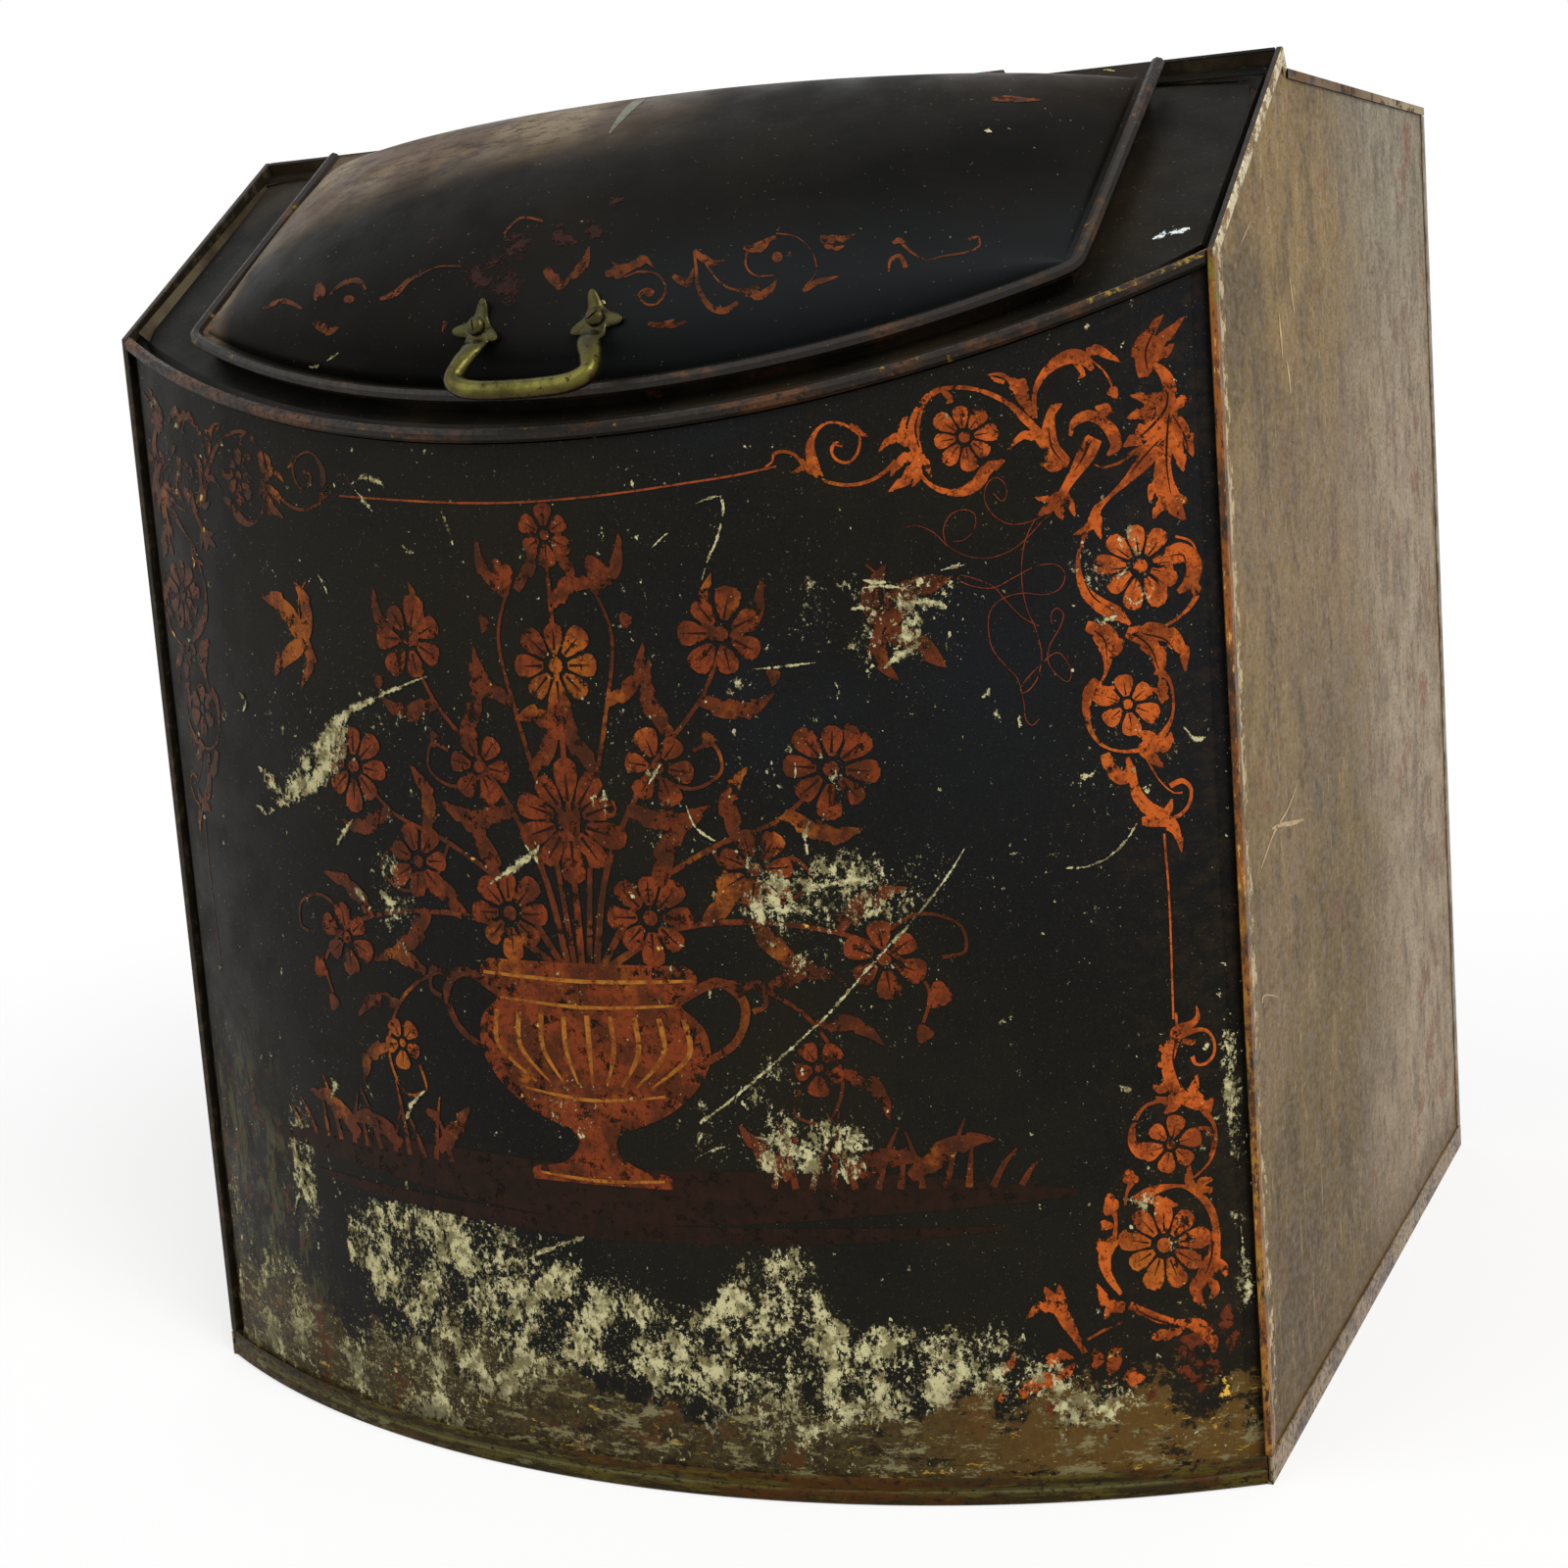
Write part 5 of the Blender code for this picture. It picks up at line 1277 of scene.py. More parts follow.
# Dark lines over the ornament
UPPER_VEINS = {
    **UPPER_CROP,
    "strokes": (
        [(1236, 330, 4), (1228, 380, 8), (1190, 430, 8), (1140, 476, 2)],
        [(1238, 400, 5), (1232, 480, 7), (1232, 560, 5), (1244, 640, 2)],
        [(1205, 480, 3), (1160, 530, 6), (1120, 580, 2)],
        [(1250, 400, 3), (1284, 460, 6), (1298, 510, 2)],
        [(474, 500, 3), (462, 440, 6), (474, 390, 2)],
        [(1000, 480, 3), (978, 525, 6), (950, 570, 2)],
        [(846, 380, 2), (866, 330, 3), (910, 262, 5), (960, 246, 2)],
        [(870, 440, 3), (880, 500, 6), (910, 540, 2)],
        [(1172, 260, 3), (1168, 200, 6), (1200, 130, 2)],
    ),
    "rays": ((612, 468, 34, 74, 8, 100, 5), (612, 468, 34, 60, 8, 122, 3)),
}
RIGHT_VEINS = {
    **RIGHT_CROP,
    "strokes": (
        [(350, 500, 5), (400, 540, 6), (428, 610, 2)],
        [(380, 500, 4), (450, 520, 5), (490, 580, 2)],
        [(230, 490, 4), (262, 520, 5), (268, 570, 2)],
        [(200, 340, 2), (230, 390, 5), (290, 430, 2)],
        [(460, 262, 2), (504, 262, 5), (510, 330, 2)],
    ),
    "rays": (
        (370, 292, 42, 92, 8, 98, 6),
        (370, 292, 40, 74, 8, 120, 4),
        (332, 716, 30, 68, 6, 100, 5),
    ),
}
LOWER_VEINS = {
    **LOWER_CROP,
    "strokes": (
        [(538, 190, 2), (532, 250, 6), (556, 330, 2)],
        [(420, 1010, 2), (480, 1040, 6), (560, 1062, 2)],
        [(648, 780, 2), (650, 840, 6), (632, 900, 2)],
    ),
    "rays": ((525, 504, 26, 60, 6, 78, 4), (505, 812, 48, 100, 9, 92, 6), (505, 812, 46, 80, 9, 112, 4)),
}

# Fine pen curls inside the corner
HAIRLINES = {
    **UPPER_CROP,
    "width": 3.2,
    "lines": (
        [(700, 640), (728, 664), (742, 640), (732, 606), (706, 592), (680, 615), (674, 660), (700, 706),
         (750, 734), (810, 728), (860, 704)],
        [(425, 745), (470, 740), (520, 762), (560, 800), (620, 832), (690, 838), (760, 812), (810, 770),
         (850, 726), (880, 700)],
        [(556, 800), (548, 750), (570, 706), (612, 690), (644, 706), (642, 750), (612, 782), (578, 788)],
        [(830, 715), (800, 780), (788, 850), (790, 930), (806, 1000), (828, 1050), (848, 1130),
         (838, 1200), (812, 1240), (788, 1250), (792, 1222), (850, 1160), (900, 1128), (938, 1180),
         (930, 1216), (900, 1200), (870, 1160), (872, 1110), (905, 1050), (915, 1010), (895, 992),
         (878, 1010), (880, 1040)],
        [(600, 910), (640, 925), (700, 930), (760, 900), (830, 864), (890, 858), (920, 886), (906, 930),
         (860, 950), (790, 946), (730, 962), (692, 1000), (686, 1060), (700, 1120), (740, 1170),
         (776, 1210), (794, 1280), (800, 1330), (820, 1350), (842, 1330)],
        [(592, 905), (600, 892), (640, 900), (700, 925), (740, 970), (790, 1020), (840, 1046)],
    ),
}
RULE = {
    "width": 2.2,
    "lines": (
        [(346, 506), (400, 510), (460, 513), (520, 513), (580, 509), (640, 502), (700, 493), (750, 485),
         (792, 476)],
    ),
}

# Flowers in an urn, in millimetres from the front's middle line and the floor; the other half mirrors this
SPRAY_BRANCHES = {
    "strokes": (
        [(6, 176, 3), (14, 214, 2.4), (34, 250, 2), (56, 276, 1.6), (66, 296, 1.4)],
        [(8, 176, 3), (28, 204, 2.4), (56, 222, 2), (82, 232, 1.6), (98, 246, 1.4)],
        [(10, 176, 3), (40, 192, 2.4), (78, 194, 2), (112, 186, 1.6), (130, 170, 1.4), (128, 156, 1.2)],
        [(3, 176, 2.4), (9, 230, 2), (18, 268, 1.8), (24, 300, 1.4), (16, 322, 1.2)],
        [(40, 166, 2.4), (62, 172, 1.8), (86, 160, 1.6), (98, 138, 1.4), (92, 120, 1.2), (80, 122, 1.2),
         (82, 132, 1.6)],
        [(56, 222, 1.6), (66, 206, 1.4), (82, 202, 1.2), (92, 210, 1.4), (86, 218, 1.4), (78, 214, 1.6)],
        [(34, 250, 1.6), (50, 244, 1.4), (62, 250, 1.2), (60, 260, 1.4), (52, 258, 1.6)],
        [(112, 186, 1.6), (128, 196, 1.4), (142, 192, 1.2), (144, 182, 1.2), (136, 180, 1.6)],
    ),
    "leaves": (
        (9, 3, [(16, 216), (2, 226), (-6, 240)]),
        (9, 3, [(24, 236), (44, 232), (58, 238)]),
        (8, 3, [(44, 264), (36, 278), (38, 292)]),
        (8, 3, [(56, 276), (72, 272), (84, 278)]),
        (9, 3, [(34, 208), (40, 224), (52, 236)]),
        (8, 3, [(66, 226), (64, 240), (72, 252)]),
        (8, 3, [(84, 234), (100, 226), (112, 228)]),
        (9, 3, [(52, 194), (64, 206), (78, 208)]),
        (9, 3, [(70, 195), (80, 182), (94, 176)]),
        (8, 3, [(100, 191), (112, 202), (126, 206)]),
        (8, 3, [(14, 250), (4, 264), (4, 278)]),
        (7, 3, [(20, 276), (32, 284), (36, 298)]),
        (7, 3, [(74, 170), (88, 176), (102, 172)]),
        (7, 3, [(90, 156), (104, 156), (114, 148)]),
        (7, 3, [(98, 138), (110, 132), (114, 120)]),
        (6, 2, [(14, 318), (6, 330), (6, 342)]),
        (6, 2, [(18, 316), (28, 326), (30, 338)]),
        (6, 2, [(70, 298), (80, 308), (82, 320)]),
        (6, 2, [(64, 298), (60, 310), (64, 322)]),
    ),
    "blobs": (
        (110, 262, 6, 8, 0, 3),
        (84, 284, 5, 6, 20, 3),
        (128, 152, 6, 7, 0, 3),
        (30, 306, 5, 6, 10, 3),
        (78, 112, 5, 6, 30, 3),
        (58, 262, 5, 6, 0, 3),
    ),
}
SPRAY_FLOWERS = {
    "flowers": (
        (66, 300, 16, 7, 80, 0.30, 0.64),
        (102, 250, 17, 8, 96, 0.30, 0.64),
        (38, 252, 14, 6, 70, 0.30, 0.62),
        (72, 214, 15, 7, 100, 0.30, 0.64),
        (116, 180, 14, 6, 84, 0.30, 0.62),
        (30, 196, 17, 8, 90, 0.30, 0.66),
        (90, 140, 10, 5, 96, 0.30, 0.62),
    ),
    "blobs": ((20, 324, 9, 12, 10, 3), (134, 166, 8, 10, -20, 3)),
}
MIDDLE_FLOWERS = {
    "flowers": (
        (0, 232, 22, 10, 90, 0.30, 0.68),
        (0, 290, 17, 8, 90, 0.30, 0.66),
        (0, 338, 11, 6, 90, 0.30, 0.64),
    ),
    "strokes": ([(0, 176, 3), (0, 240, 2.4), (0, 300, 2), (0, 334, 1.4)],),
    "leaves": ((8, 3, [(0, 264), (-10, 272), (-20, 270)]), (8, 3, [(0, 312), (10, 320), (20, 318)])),
}
URN = {
    "strokes": (
        [(0, 92, 60), (0, 97, 58), (0, 100, 30), (0, 108, 16), (0, 114, 24)],
        [(0, 114, 28), (0, 120, 58), (0, 130, 84), (0, 142, 98), (0, 154, 96), (0, 162, 80),
         (0, 167, 74)],
        [(0, 167, 84), (0, 171, 92), (0, 175, 92), (0, 178, 84)],
    ),
}
URN_HANDLE = {
    "strokes": (
        [(38, 164, 3), (54, 172, 4), (64, 164, 3.6), (60, 150, 3), (48, 142, 3)],
        [(62, 168, 3), (70, 172, 2.4), (72, 164, 2), (67, 161, 2.4)],
    ),
}
GROUND = {
    "strokes": (
        [(-176, 90, 3), (-120, 92, 14), (-60, 90, 20), (0, 88, 22), (60, 90, 20), (120, 92, 14),
         (176, 90, 3)],
        [(-150, 78, 2), (-90, 76, 6), (0, 74, 7), (90, 76, 6), (150, 78, 2)],
    ),
}
# Blades of grass: place, lean and height
BLADES = ((70, 6, 20), (78, -5, 26), (84, 8, 18), (92, 4, 30), (100, -6, 20), (108, 9, 24), (116, 3, 16),
          (124, -5, 22), (132, 8, 26), (140, 2, 16), (148, 9, 14), (158, 6, 9))
GRASS_FOOT, BLADE_MIDDLE = 94, 0.6


def blade(x, lean, tall):
    middle = (x + lean / 2, GRASS_FOOT + tall * BLADE_MIDDLE, 1.8)
    return [(x, GRASS_FOOT, 2.6), middle, (x + lean, GRASS_FOOT + tall, 0.6)]


GRASS = {
    "strokes": [blade(*row) for row in BLADES],
    "leaves": (
        (9, 3, [(96, 98), (112, 106), (126, 104)]),
        (9, 3, [(120, 98), (136, 110), (150, 112)]),
        (8, 3, [(76, 98), (66, 108), (58, 118)]),
    ),
}
# Upright flutes of the urn, closer together at its foot
FLUTE_PLACES = range(-40, 41, 10)
FLUTES = [[(x, 158, 2.2), (x * 1.02, 144, 2.0), (x * 0.62, 131, 0.8)] for x in FLUTE_PLACES]
URN_LIGHTS = {
    "strokes": [
        [(-45, 172.5, 1.2), (0, 171, 1.6), (45, 172.5, 1.2)],
        [(-38, 163, 1), (0, 161, 1.4), (38, 163, 1)],
        [(-30, 128, 1), (0, 125, 1.4), (30, 128, 1)],
        [(-27, 95, 1), (0, 93.5, 1.4), (27, 95, 1)],
        *FLUTES,
    ],
}


# A petal's dark line, as shares of its flower's radius
LINE_START, LINE_END, LINE_WIDTH = 0.34, 0.82, 0.07


def petal_lines(sheet):
    """A dark line down each petal of the flowers on a sheet."""
    rows = []
    for x, y, radius, petals, start, _, _ in sheet["flowers"]:
        rows.append((x, y, radius * LINE_START, radius * LINE_END, petals, start, radius * LINE_WIDTH))
    return {"rays": rows}


BUTTERFLY = {
    "leaves": (
        (11, 1, [(124, 300), (134, 312), (148, 316)]),
        (9, 1, [(124, 298), (136, 292), (144, 284)]),
        (8, 1, [(122, 300), (120, 312), (126, 322)]),
        (6, 1, [(122, 297), (122, 288), (128, 280)]),
    ),
    "strokes": (
        [(118, 290, 2.4), (122, 299, 3), (125, 305, 2)],
        [(125, 305, 0.6), (124, 316, 0.6), (119, 322, 0.9)],
    ),
}

# Garland across the lid
LID_RIGHT = {
    **LID_RIGHT_CROP,
    "strokes": (
        [(0, 610, 5), (50, 615, 5), (75, 650, 5), (60, 690, 5), (25, 695, 5), (5, 670, 5), (25, 655, 6),
         (45, 665, 8)],
        [(30, 745, 10), (60, 750, 14), (100, 735, 6)],
        [(150, 555, 6), (155, 600, 8), (160, 650, 10), (190, 700, 16), (230, 712, 18), (265, 690, 10)],
        [(180, 590, 4), (220, 640, 5), (270, 660, 8), (320, 650, 10)],
        [(365, 520, 10), (300, 545, 6), (285, 590, 5), (310, 620, 5), (360, 620, 4)],
        [(365, 510, 4), (420, 520, 3), (460, 560, 3), (470, 610, 3), (440, 650, 4)],
        [(705, 600, 12), (690, 570, 12), (665, 580, 8), (660, 610, 5)],
        [(690, 530, 10), (720, 560, 6), (760, 580, 5), (800, 570, 5), (860, 560, 5), (895, 545, 6),
         (895, 520, 6), (870, 525, 8)],
    ),
    "leaves": (
        (18, 2, [(0, 580), (20, 575), (45, 600)]),
        (24, 2, [(150, 555), (190, 585), (235, 580)]),
        (22, 2, [(95, 620), (130, 640), (150, 600)]),
        (28, 3, [(270, 660), (330, 670), (370, 630)]),
        (24, 2, [(280, 545), (320, 550), (360, 515)]),
        (22, 2, [(480, 520), (530, 525), (575, 512)]),
        (16, 2, [(480, 530), (520, 548), (545, 542)]),
        (18, 2, [(435, 660), (480, 635), (532, 622)]),
        (18, 2, [(930, 156), (990, 158), (1062, 160)]),
        (16, 2, [(670, 535), (690, 528), (705, 536)]),
    ),
    "blobs": ((368, 572, 28, 28), (505, 540, 30, 24)),
}
LID_LEFT = {
    **LID_LEFT_CROP,
    "strokes": (
        [(430, 755, 6), (470, 720, 14), (520, 710, 16), (545, 740, 8)],
        [(590, 770, 10), (640, 750, 20), (680, 710, 14), (720, 690, 10)],
        [(720, 690, 5), (780, 665, 4), (850, 665, 5)],
        [(215, 800, 10), (280, 775, 16), (340, 800, 8)],
        [(985, 560, 8), (1040, 510, 8), (1110, 520, 8)],
        [(1370, 700, 5), (1430, 680, 5), (1490, 700, 5), (1500, 750, 5), (1460, 790, 5), (1420, 770, 5),
         (1440, 740, 8)],
        [(1450, 850, 10), (1520, 855, 14), (1570, 840, 8)],
        [(800, 840, 16), (790, 880, 8)],
    ),
    "leaves": (
        (36, 3, [(1310, 690), (1390, 665), (1455, 640)]),
        (26, 2, [(1340, 700), (1370, 680), (1330, 650)]),
        (34, 2, [(380, 840), (420, 870), (460, 860)]),
        (44, 2, [(1120, 670), (1160, 720), (1200, 700)]),
        (34, 2, [(1200, 700), (1240, 660), (1260, 600)]),
        (30, 2, [(1540, 700), (1570, 720), (1590, 700)]),
    ),
    "blobs": ((395, 745, 36, 60, 10, 3), (490, 770, 34, 26), (1450, 750, 30, 24)),
}
LID_FADED = {
    **LID_LEFT_CROP,
    "blobs": (
        (1030, 590, 104, 100, 0, 5),
        (1180, 570, 90, 70, 20, 3),
        (900, 700, 100, 90, 10, 5),
        (1000, 730, 110, 110, 0, 4),
        (960, 650, 70, 60, 0, 3),
        (1270, 550, 60, 70, 0, 3),
        (1340, 450, 50, 50, 0, 3),
    ),
}

# Flakes and scratches, in pixels of the photograph
FLAKES = {
    "wider": 1.35,
    "strokes": (
        [(787, 776, 2), (789, 785, 7), (790, 792, 2)],
        [(811, 778, 1), (812, 786, 3), (811, 794, 1)],
        [(852, 696, 1), (856, 706, 4), (854, 714, 1)],
        [(928, 618, 4), (942, 614, 8), (956, 616, 9), (966, 620, 4)],
        [(880, 592, 2), (892, 594, 6), (904, 594, 3)],
        [(868, 622, 2), (880, 620, 6), (898, 622, 3)],
        [(1002, 712, 2), (1007, 708, 7), (1010, 702, 2)],
        [(612, 818, 2), (616, 814, 7), (616, 806, 2)],
        [(826, 838, 3), (822, 850, 6), (824, 872, 2)],
        [(772, 898, 5), (792, 902, 8), (812, 900, 9), (840, 904, 5), (872, 898, 8), (900, 902, 5)],
        [(436, 690, 2), (405, 702, 5), (376, 716, 7), (352, 730, 12), (338, 752, 26), (322, 782, 34),
         (300, 806, 26), (284, 822, 8)],
        [(352, 742, 8), (340, 772, 22), (318, 800, 18), (310, 812, 6)],
        [(264, 782, 2), (272, 792, 12), (282, 804, 10), (292, 812, 3)],
        [(262, 822, 2), (272, 828, 8), (282, 826, 3)],
        [(360, 836, 2), (350, 850, 7), (344, 862, 2)],
        [(450, 522, 2), (454, 532, 6), (460, 548, 4), (462, 556, 1)],
        [(410, 556, 2), (416, 561, 7), (422, 564, 2)],
        [(358, 494, 2), (370, 488, 8), (384, 490, 6), (392, 498, 2)],
        [(362, 500, 2), (372, 512, 5), (380, 522, 2)],
        [(735, 506, 3), (738, 520, 3), (732, 548, 3), (722, 572, 2.4), (716, 592, 1)],
        [(710, 514, 1), (724, 508, 3), (736, 506, 2)],
        [(768, 683, 1), (790, 681, 3), (815, 678, 3), (832, 676, 1)],
        [(662, 800, 1), (668, 790, 5), (674, 780, 1)],
        [(500, 902, 2), (514, 892, 6), (532, 880, 10), (546, 868, 5), (550, 862, 1)],
        [(536, 862, 1), (544, 874, 6), (550, 882, 1)],
        [(388, 908, 2), (396, 920, 14), (404, 934, 12), (410, 938, 3)],
        [(362, 906, 2), (368, 912, 8), (372, 922, 2)],
        [(714, 1146, 4), (742, 1126, 3.4), (780, 1094, 4), (816, 1062, 3.4), (850, 1030, 4),
         (884, 990, 3.4), (916, 956, 4), (944, 924, 3.4), (968, 892, 3), (984, 866, 1)],
        [(1088, 886, 3), (1110, 884, 3), (1132, 874, 3), (1150, 856, 3), (1160, 840, 2)],
        [(1092, 802, 2), (1100, 796, 8), (1114, 790, 5), (1118, 786, 1)],
        [(902, 682, 2), (914, 672, 10), (930, 662, 8), (940, 656, 2)],
        [(540, 1284, 2), (556, 1276, 6), (578, 1268, 7), (592, 1264, 5), (596, 1262, 1)],
        [(300, 1160, 1), (302, 1180, 6), (308, 1200, 8), (304, 1222, 5), (300, 1240, 1)],
        [(338, 1100, 2), (342, 1108, 8), (338, 1122, 3)],
        [(412, 1150, 1), (420, 1128, 6), (430, 1116, 3), (436, 1112, 1)],
        [(710, 1182, 1), (726, 1174, 5), (740, 1170, 2)],
        [(770, 1160, 1), (790, 1164, 6), (806, 1158, 5), (800, 1168, 1)],
        [(858, 1150, 2), (856, 1172, 7), (860, 1196, 6), (866, 1208, 2)],
        [(818, 1164, 1), (834, 1172, 8), (846, 1180, 7), (850, 1186, 1)],
        [(700, 822, 1), (708, 842, 2.4), (722, 854, 3), (730, 858, 1)],
        [(664, 560, 1), (676, 548, 2.6), (682, 544, 1)],
        [(1140, 628, 6), (1128, 632, 10), (1116, 634, 5)],
        [(1208, 742, 1), (1220, 754, 6), (1230, 752, 2)],
        [(1148, 608, 2), (1158, 616, 6), (1166, 612, 2)],
        [(1250, 1062, 2), (1256, 1086, 8), (1252, 1110, 9), (1258, 1130, 3)],
        [(1266, 1250, 2), (1270, 1290, 6), (1274, 1312, 9), (1270, 1330, 3)],
        [(880, 600, 1), (902, 598, 4), (920, 600, 1)],
        [(960, 582, 1), (974, 578, 4), (984, 576, 1)],
        [(244, 706, 1), (250, 716, 4), (248, 726, 1)],
        [(324, 586, 1), (330, 596, 3), (334, 606, 1)],
    ),
}
GOLD_FLECK = {"blobs": ((1253, 1416, 20, 36, 8, 3),)}
# A painted glint: a small white patch on the slope stands in for a reflection.
SLOPE_GLINT = {"strokes": ([(1176, 244, 2), (1188, 239, 10), (1200, 236, 11), (1214, 233, 3)],)}
LID_FLECKS = {
    "strokes": (
        [(1126, 72, 2), (1132, 72, 5), (1138, 73, 2)],
        [(1004, 134, 2), (1008, 134, 6), (1012, 135, 2)],
        [(316, 374, 2), (322, 374, 5), (326, 372, 1)],
        [(334, 368, 1), (340, 364, 4), (346, 360, 1)],
        [(614, 306, 1), (616, 308, 4), (618, 310, 1)],
    ),
}
LID_SCUFF = {"strokes": ([(622, 136, 2), (634, 120, 6), (646, 108, 7), (658, 100, 3)],)}
SIDE_SCRATCHES = {
    "strokes": (
        [(1305, 320, 0.6), (1307, 340, 1.8), (1309, 366, 0.6)],
        [(1312, 364, 0.6), (1315, 380, 1.6), (1317, 402, 0.5)],
        [(1316, 282, 0.5), (1319, 306, 1.4), (1321, 320, 0.5)],
        [(1287, 886, 0.6), (1300, 850, 1.6), (1314, 826, 1.2), (1325, 796, 0.5)],
        [(1298, 846, 2), (1306, 842, 4), (1318, 840, 5), (1330, 836, 2)],
        [(1288, 1024, 0.6), (1290, 1016, 1.4), (1300, 1016, 1), (1304, 1018, 0.5)],
        [(1266, 250, 0.4), (1270, 240, 1.0), (1276, 226, 0.4)],
    ),
}


def mirrored(sheet):
    """The same sheet turned over to the other side of the middle line."""
    made = dict(sheet)
    made["strokes"] = [[(-x, *rest) for x, *rest in points] for points in sheet.get("strokes", ())]
    made["leaves"] = [
        (width, lobes, [(-x, y) for x, y in points]) for width, lobes, points in sheet.get("leaves", ())
    ]
    for key in ("flowers", "blobs", "rays"):
        made[key] = [(-x, *rest) for x, *rest in sheet.get(key, ())]
    return made


def both_halves(*sheets):
    return [half for sheet in sheets for half in (sheet, mirrored(sheet))]


# Size and height of the spray on the front
SPRAY_SHEET = {"corner": (0.0, 31.0), "scale": 0.89}
# How far each layer of paint stands off the tin
LIFT, OVER_LIFT, TOP_LIFT, LINE_LIFT, FLAKE_LIFT = 0.00016, 0.00026, 0.00034, 0.00042, 0.00050


def paint(name, surface, lift, material, slot, *sheets, mirror=False):
    made = Painting(surface, lift)
    for sheet in sheets:
        made.draw(sheet)
    made.make(name, material, slot, mirror)


def paint_edges():
    bright = ornament_paint("scroll_paint", tone(198, 94, 35), tone(134, 62, 25), 0.01)
    faded = ornament_paint("scroll_paint_faded", tone(90, 48, 24), tone(58, 36, 20), 0.05)
    dark = plain_paint("scroll_vein_paint", tone(50, 22, 13), tone(36, 20, 14), 0.02)
    rule = ornament_paint("rule_paint", tone(150, 70, 36), tone(110, 54, 30), -0.03)
    pen = ornament_paint("hairline_paint", tone(124, 54, 32), tone(86, 42, 28), 0.02)
    corner = ornament_paint("corner_paint_worn", tone(104, 48, 26), tone(76, 40, 24), 0.04)
    for name, lift, material, *sheets in (
        ("front_scroll", LIFT, bright, UPPER_CORNER, RIGHT_EDGE, LOWER_CORNER),
        ("front_veins", OVER_LIFT, dark, UPPER_VEINS, RIGHT_VEINS, LOWER_VEINS),
        ("front_rule", LIFT, rule, RULE),
        ("front_hairlines", LIFT, pen, HAIRLINES),
        ("front_corner_worn", LIFT, corner, WORN_CORNER),
    ):
        paint(name, front_seen, lift, material, "front_panel", *sheets)
    left = "front_scroll_faded_mirrored"
    paint(left, front_seen, LIFT, faded, "front_panel", UPPER_CORNER, RIGHT_EDGE, mirror=True)


def paint_spray():
    brown = plain_paint("ground_paint", tone(42, 26, 18), tone(31, 22, 15), 0.02)
    rust = ornament_paint("spray_paint", tone(100, 47, 23), tone(66, 35, 19), 0.03)
    red = ornament_paint("spray_flower_paint", tone(126, 57, 26), tone(80, 39, 19), 0.025)
    gold = plain_paint("spray_light_paint", tone(176, 112, 42), tone(126, 70, 30), 0.05)
    dark = plain_paint("spray_line_paint", tone(46, 24, 16), tone(34, 20, 14), 0.02)
    branches = both_halves(SPRAY_BRANCHES, GRASS, URN_HANDLE, BUTTERFLY)
    flowers = (SPRAY_FLOWERS, mirrored(SPRAY_FLOWERS), MIDDLE_FLOWERS)
    lines = [petal_lines(sheet) for sheet in flowers]
    for name, lift, material, *sheets in (
        ("front_ground", LIFT, brown, GROUND),
        ("front_spray_branches", OVER_LIFT, rust, *branches),
        ("front_spray_flowers", TOP_LIFT, red, *flowers, URN),
        ("front_spray_lines", LINE_LIFT, dark, *lines),
        ("front_urn_lights", LINE_LIFT, gold, URN_LIGHTS),
    ):
        placed = [{**sheet, **SPRAY_SHEET} for sheet in sheets]
        paint(name, front_flat, lift, material, "front_panel", *placed)


def paint_lid():
    faint = plain_paint("lid_garland_paint", tone(118, 60, 28), tone(66, 38, 22), 0.055)
    dim = plain_paint("lid_garland_faint", tone(92, 46, 20), tone(54, 31, 18), 0.065)
    faded = plain_paint("lid_garland_faded", tone(46, 20, 14), tone(30, 17, 12), 0.02, frayed=0.16)
    paint("lid_garland_right", lid_seen, LIFT, faint, "lid_shell", LID_RIGHT)
    paint("lid_garland_left", lid_seen, LIFT, dim, "lid_shell", LID_LEFT)
    paint("lid_garland_faded", lid_seen, LIFT, faded, "lid_shell", LID_FADED)


def paint_wear():
    bare = flake_paint("bare_flake")
    gold = flake_paint("fleck_gold", tone(226, 182, 76))
    white = flake_paint("glint_white", tone(214, 222, 222))
    grey = plain_paint("scuff_grey", tone(120, 122, 110), tone(96, 94, 82), 0.03)
    scratch = plain_paint("scratch_tin", tone(206, 176, 120), tone(168, 134, 88), gloss=0.5)
    paint("front_flakes", front_seen, FLAKE_LIFT, bare, "front_panel", FLAKES)
    paint("front_gold_fleck", front_seen, FLAKE_LIFT, gold, "front_panel", GOLD_FLECK)
    # Painted glint on the slope.
    paint("slope_glint", slope_seen, LIFT, white, "slope_panel", SLOPE_GLINT)
    paint("lid_flecks", lid_seen, OVER_LIFT, bare, "lid_shell", LID_FLECKS)
    paint("lid_scuff", lid_seen, LIFT, grey, "lid_shell", LID_SCUFF)
    paint("side_scratches", side_seen, LIFT, scratch, "right_side_panel", SIDE_SCRATCHES)


paint_edges()
paint_spray()
paint_lid()
paint_wear()

# Stage: floor, light, background
FLOOR_HALF = 40.0
FLOOR_TONE = (0.32, 0.32, 0.32, 1)
FLOOR_GLOW = 0.67
WORLD_PLAIN = 0.45
# Name, place that each sun shines from, strength and spread in degrees
SUNS = (
    ("key", (1.0, -0.7, 1.2), 2.2, 35),
    ("fill", (-0.8, -1.0, 0.9), 0.8, 60),
)


def bright_rays(tree):
    """1 for rays from the camera, from gloss and through glass, 0 for the rest."""
    path = tree.nodes.new("ShaderNodeLightPath")
    total = path.outputs["Is Camera Ray"]
    for name in ("Is Glossy Ray", "Is Transmission Ray"):
        more = tree.nodes.new("ShaderNodeMath")
        more.operation = "ADD"
        more.use_clamp = True
        tree.links.new(total, more.inputs[0])
        tree.links.new(path.outputs[name], more.inputs[1])
        total = more.outputs[0]
    return total


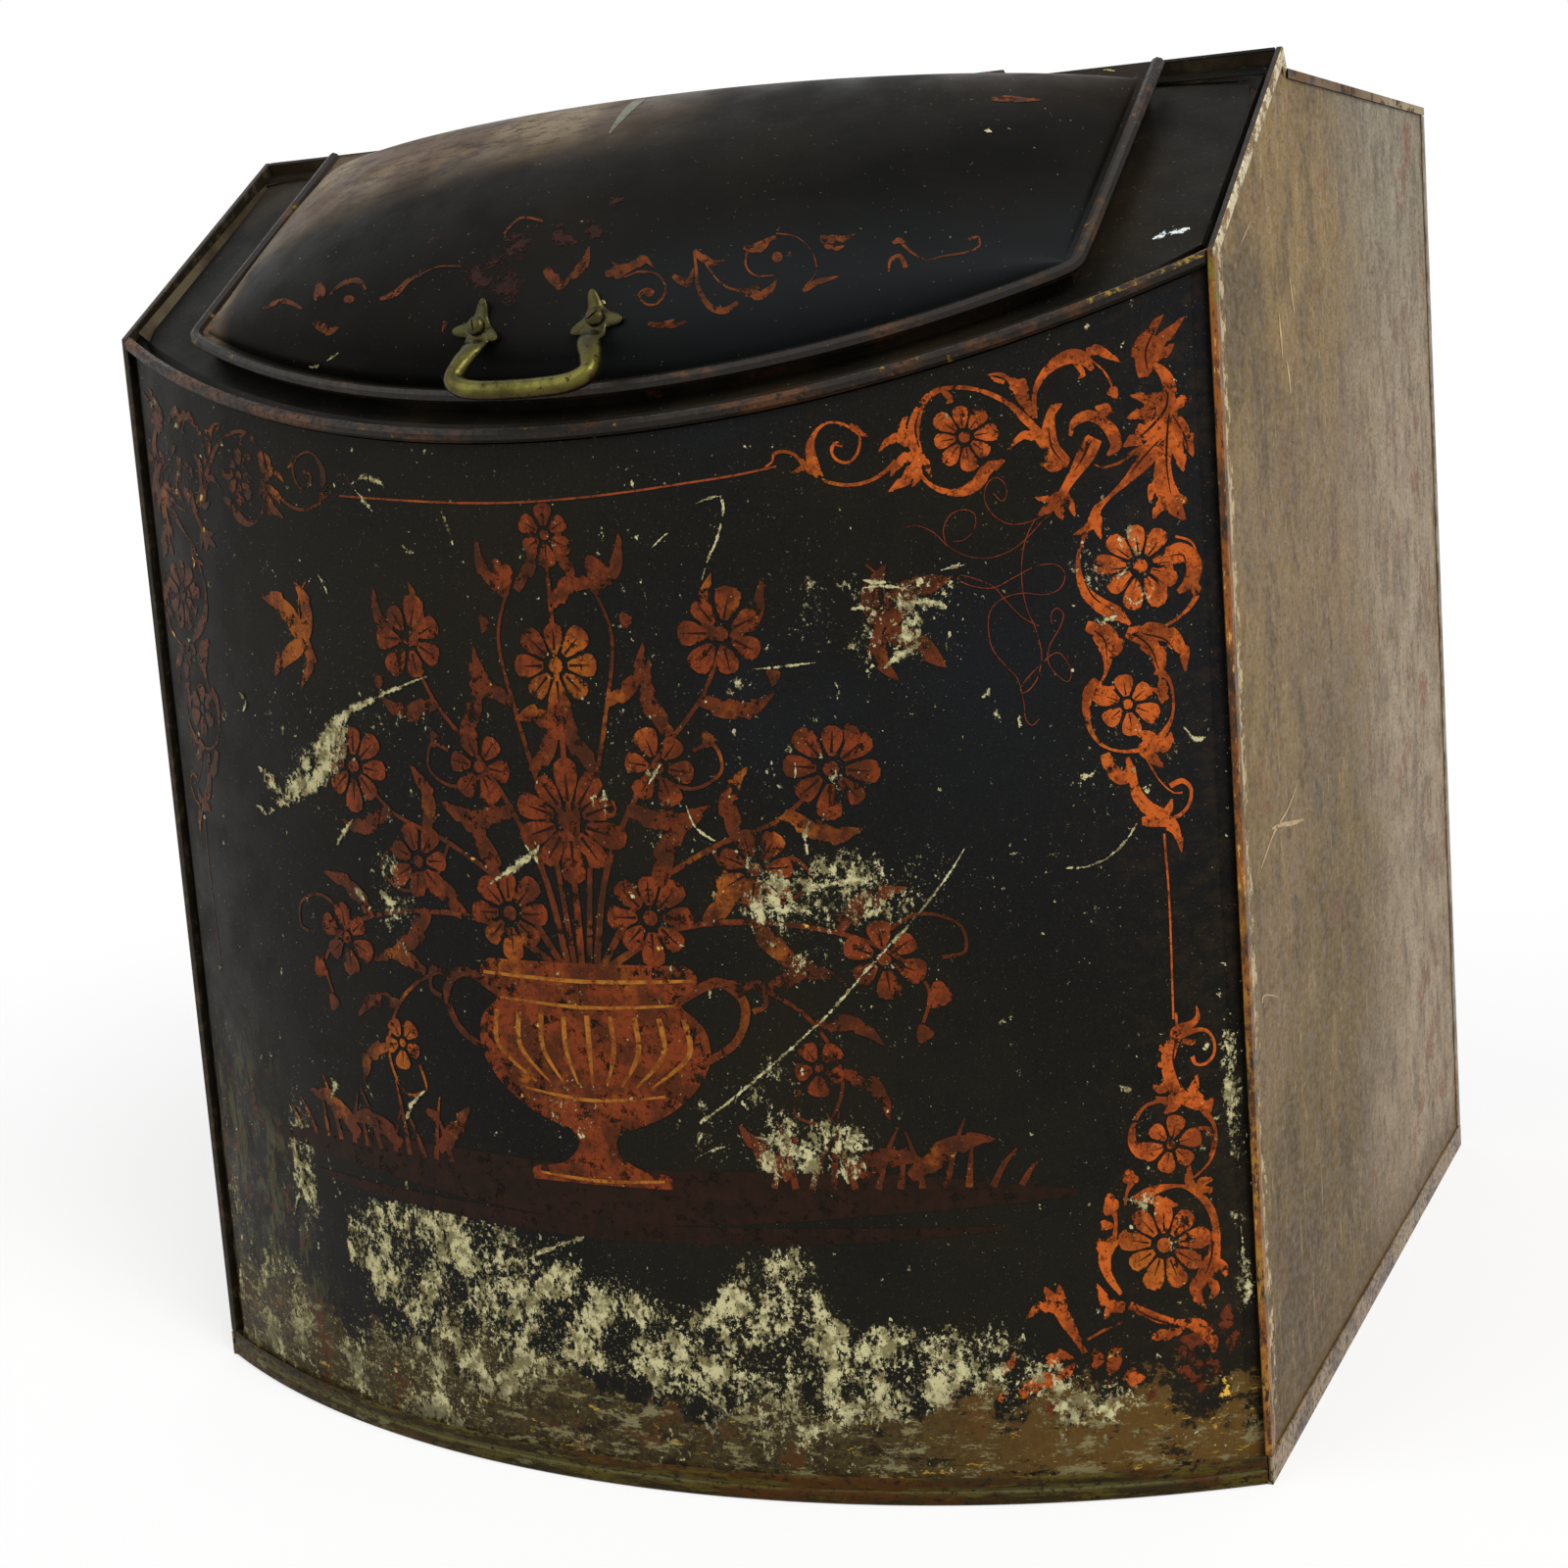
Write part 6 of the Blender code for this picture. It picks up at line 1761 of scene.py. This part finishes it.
def floor_material():
    """A plain pale floor that glows only for bright rays, so that it keeps the bin's shadow."""
    material = bpy.data.materials.new("floor_pale")
    material.use_nodes = True
    tree = material.node_tree
    tree.nodes.clear()
    plain = tree.nodes.new("ShaderNodeBsdfDiffuse")
    plain.inputs["Color"].default_value = FLOOR_TONE
    glow = tree.nodes.new("ShaderNodeEmission")
    glow.inputs["Strength"].default_value = FLOOR_GLOW
    both = tree.nodes.new("ShaderNodeAddShader")
    tree.links.new(plain.outputs[0], both.inputs[0])
    tree.links.new(glow.outputs[0], both.inputs[1])
    mix = tree.nodes.new("ShaderNodeMixShader")
    tree.links.new(bright_rays(tree), mix.inputs[0])
    tree.links.new(plain.outputs[0], mix.inputs[1])
    tree.links.new(both.outputs[0], mix.inputs[2])
    out = tree.nodes.new("ShaderNodeOutputMaterial")
    tree.links.new(mix.outputs[0], out.inputs["Surface"])
    return material


def set_floor():
    mesh = bpy.data.meshes.new("floor")
    far = FLOOR_HALF
    mesh.from_pydata([(-far, -far, 0), (far, -far, 0), (far, far, 0), (-far, far, 0)], [], [(0, 1, 2, 3)])
    mesh.materials.append(floor_material())
    add_object("floor", mesh)


def set_world():
    world = bpy.data.worlds.new("studio")
    world.use_nodes = True
    tree = world.node_tree
    background = tree.nodes["Background"]
    background.inputs["Color"].default_value = (1, 1, 1, 1)
    level = tree.nodes.new("ShaderNodeMapRange")
    level.inputs["To Min"].default_value = WORLD_PLAIN
    level.inputs["To Max"].default_value = 1.0
    tree.links.new(bright_rays(tree), level.inputs["Value"])
    tree.links.new(level.outputs[0], background.inputs["Strength"])
    bpy.context.scene.world = world


def set_suns():
    for name, place, strength, degrees in SUNS:
        data = bpy.data.lights.new(name, "SUN")
        data.energy = strength
        data.angle = math.radians(degrees)
        lamp = add_object(name, data)
        lamp.location = place
        lamp.rotation_euler = (-Vector(place)).to_track_quat("-Z", "Y").to_euler()


set_camera()
set_floor()
set_world()
set_suns()
bpy.context.scene.view_settings.view_transform = "Standard"
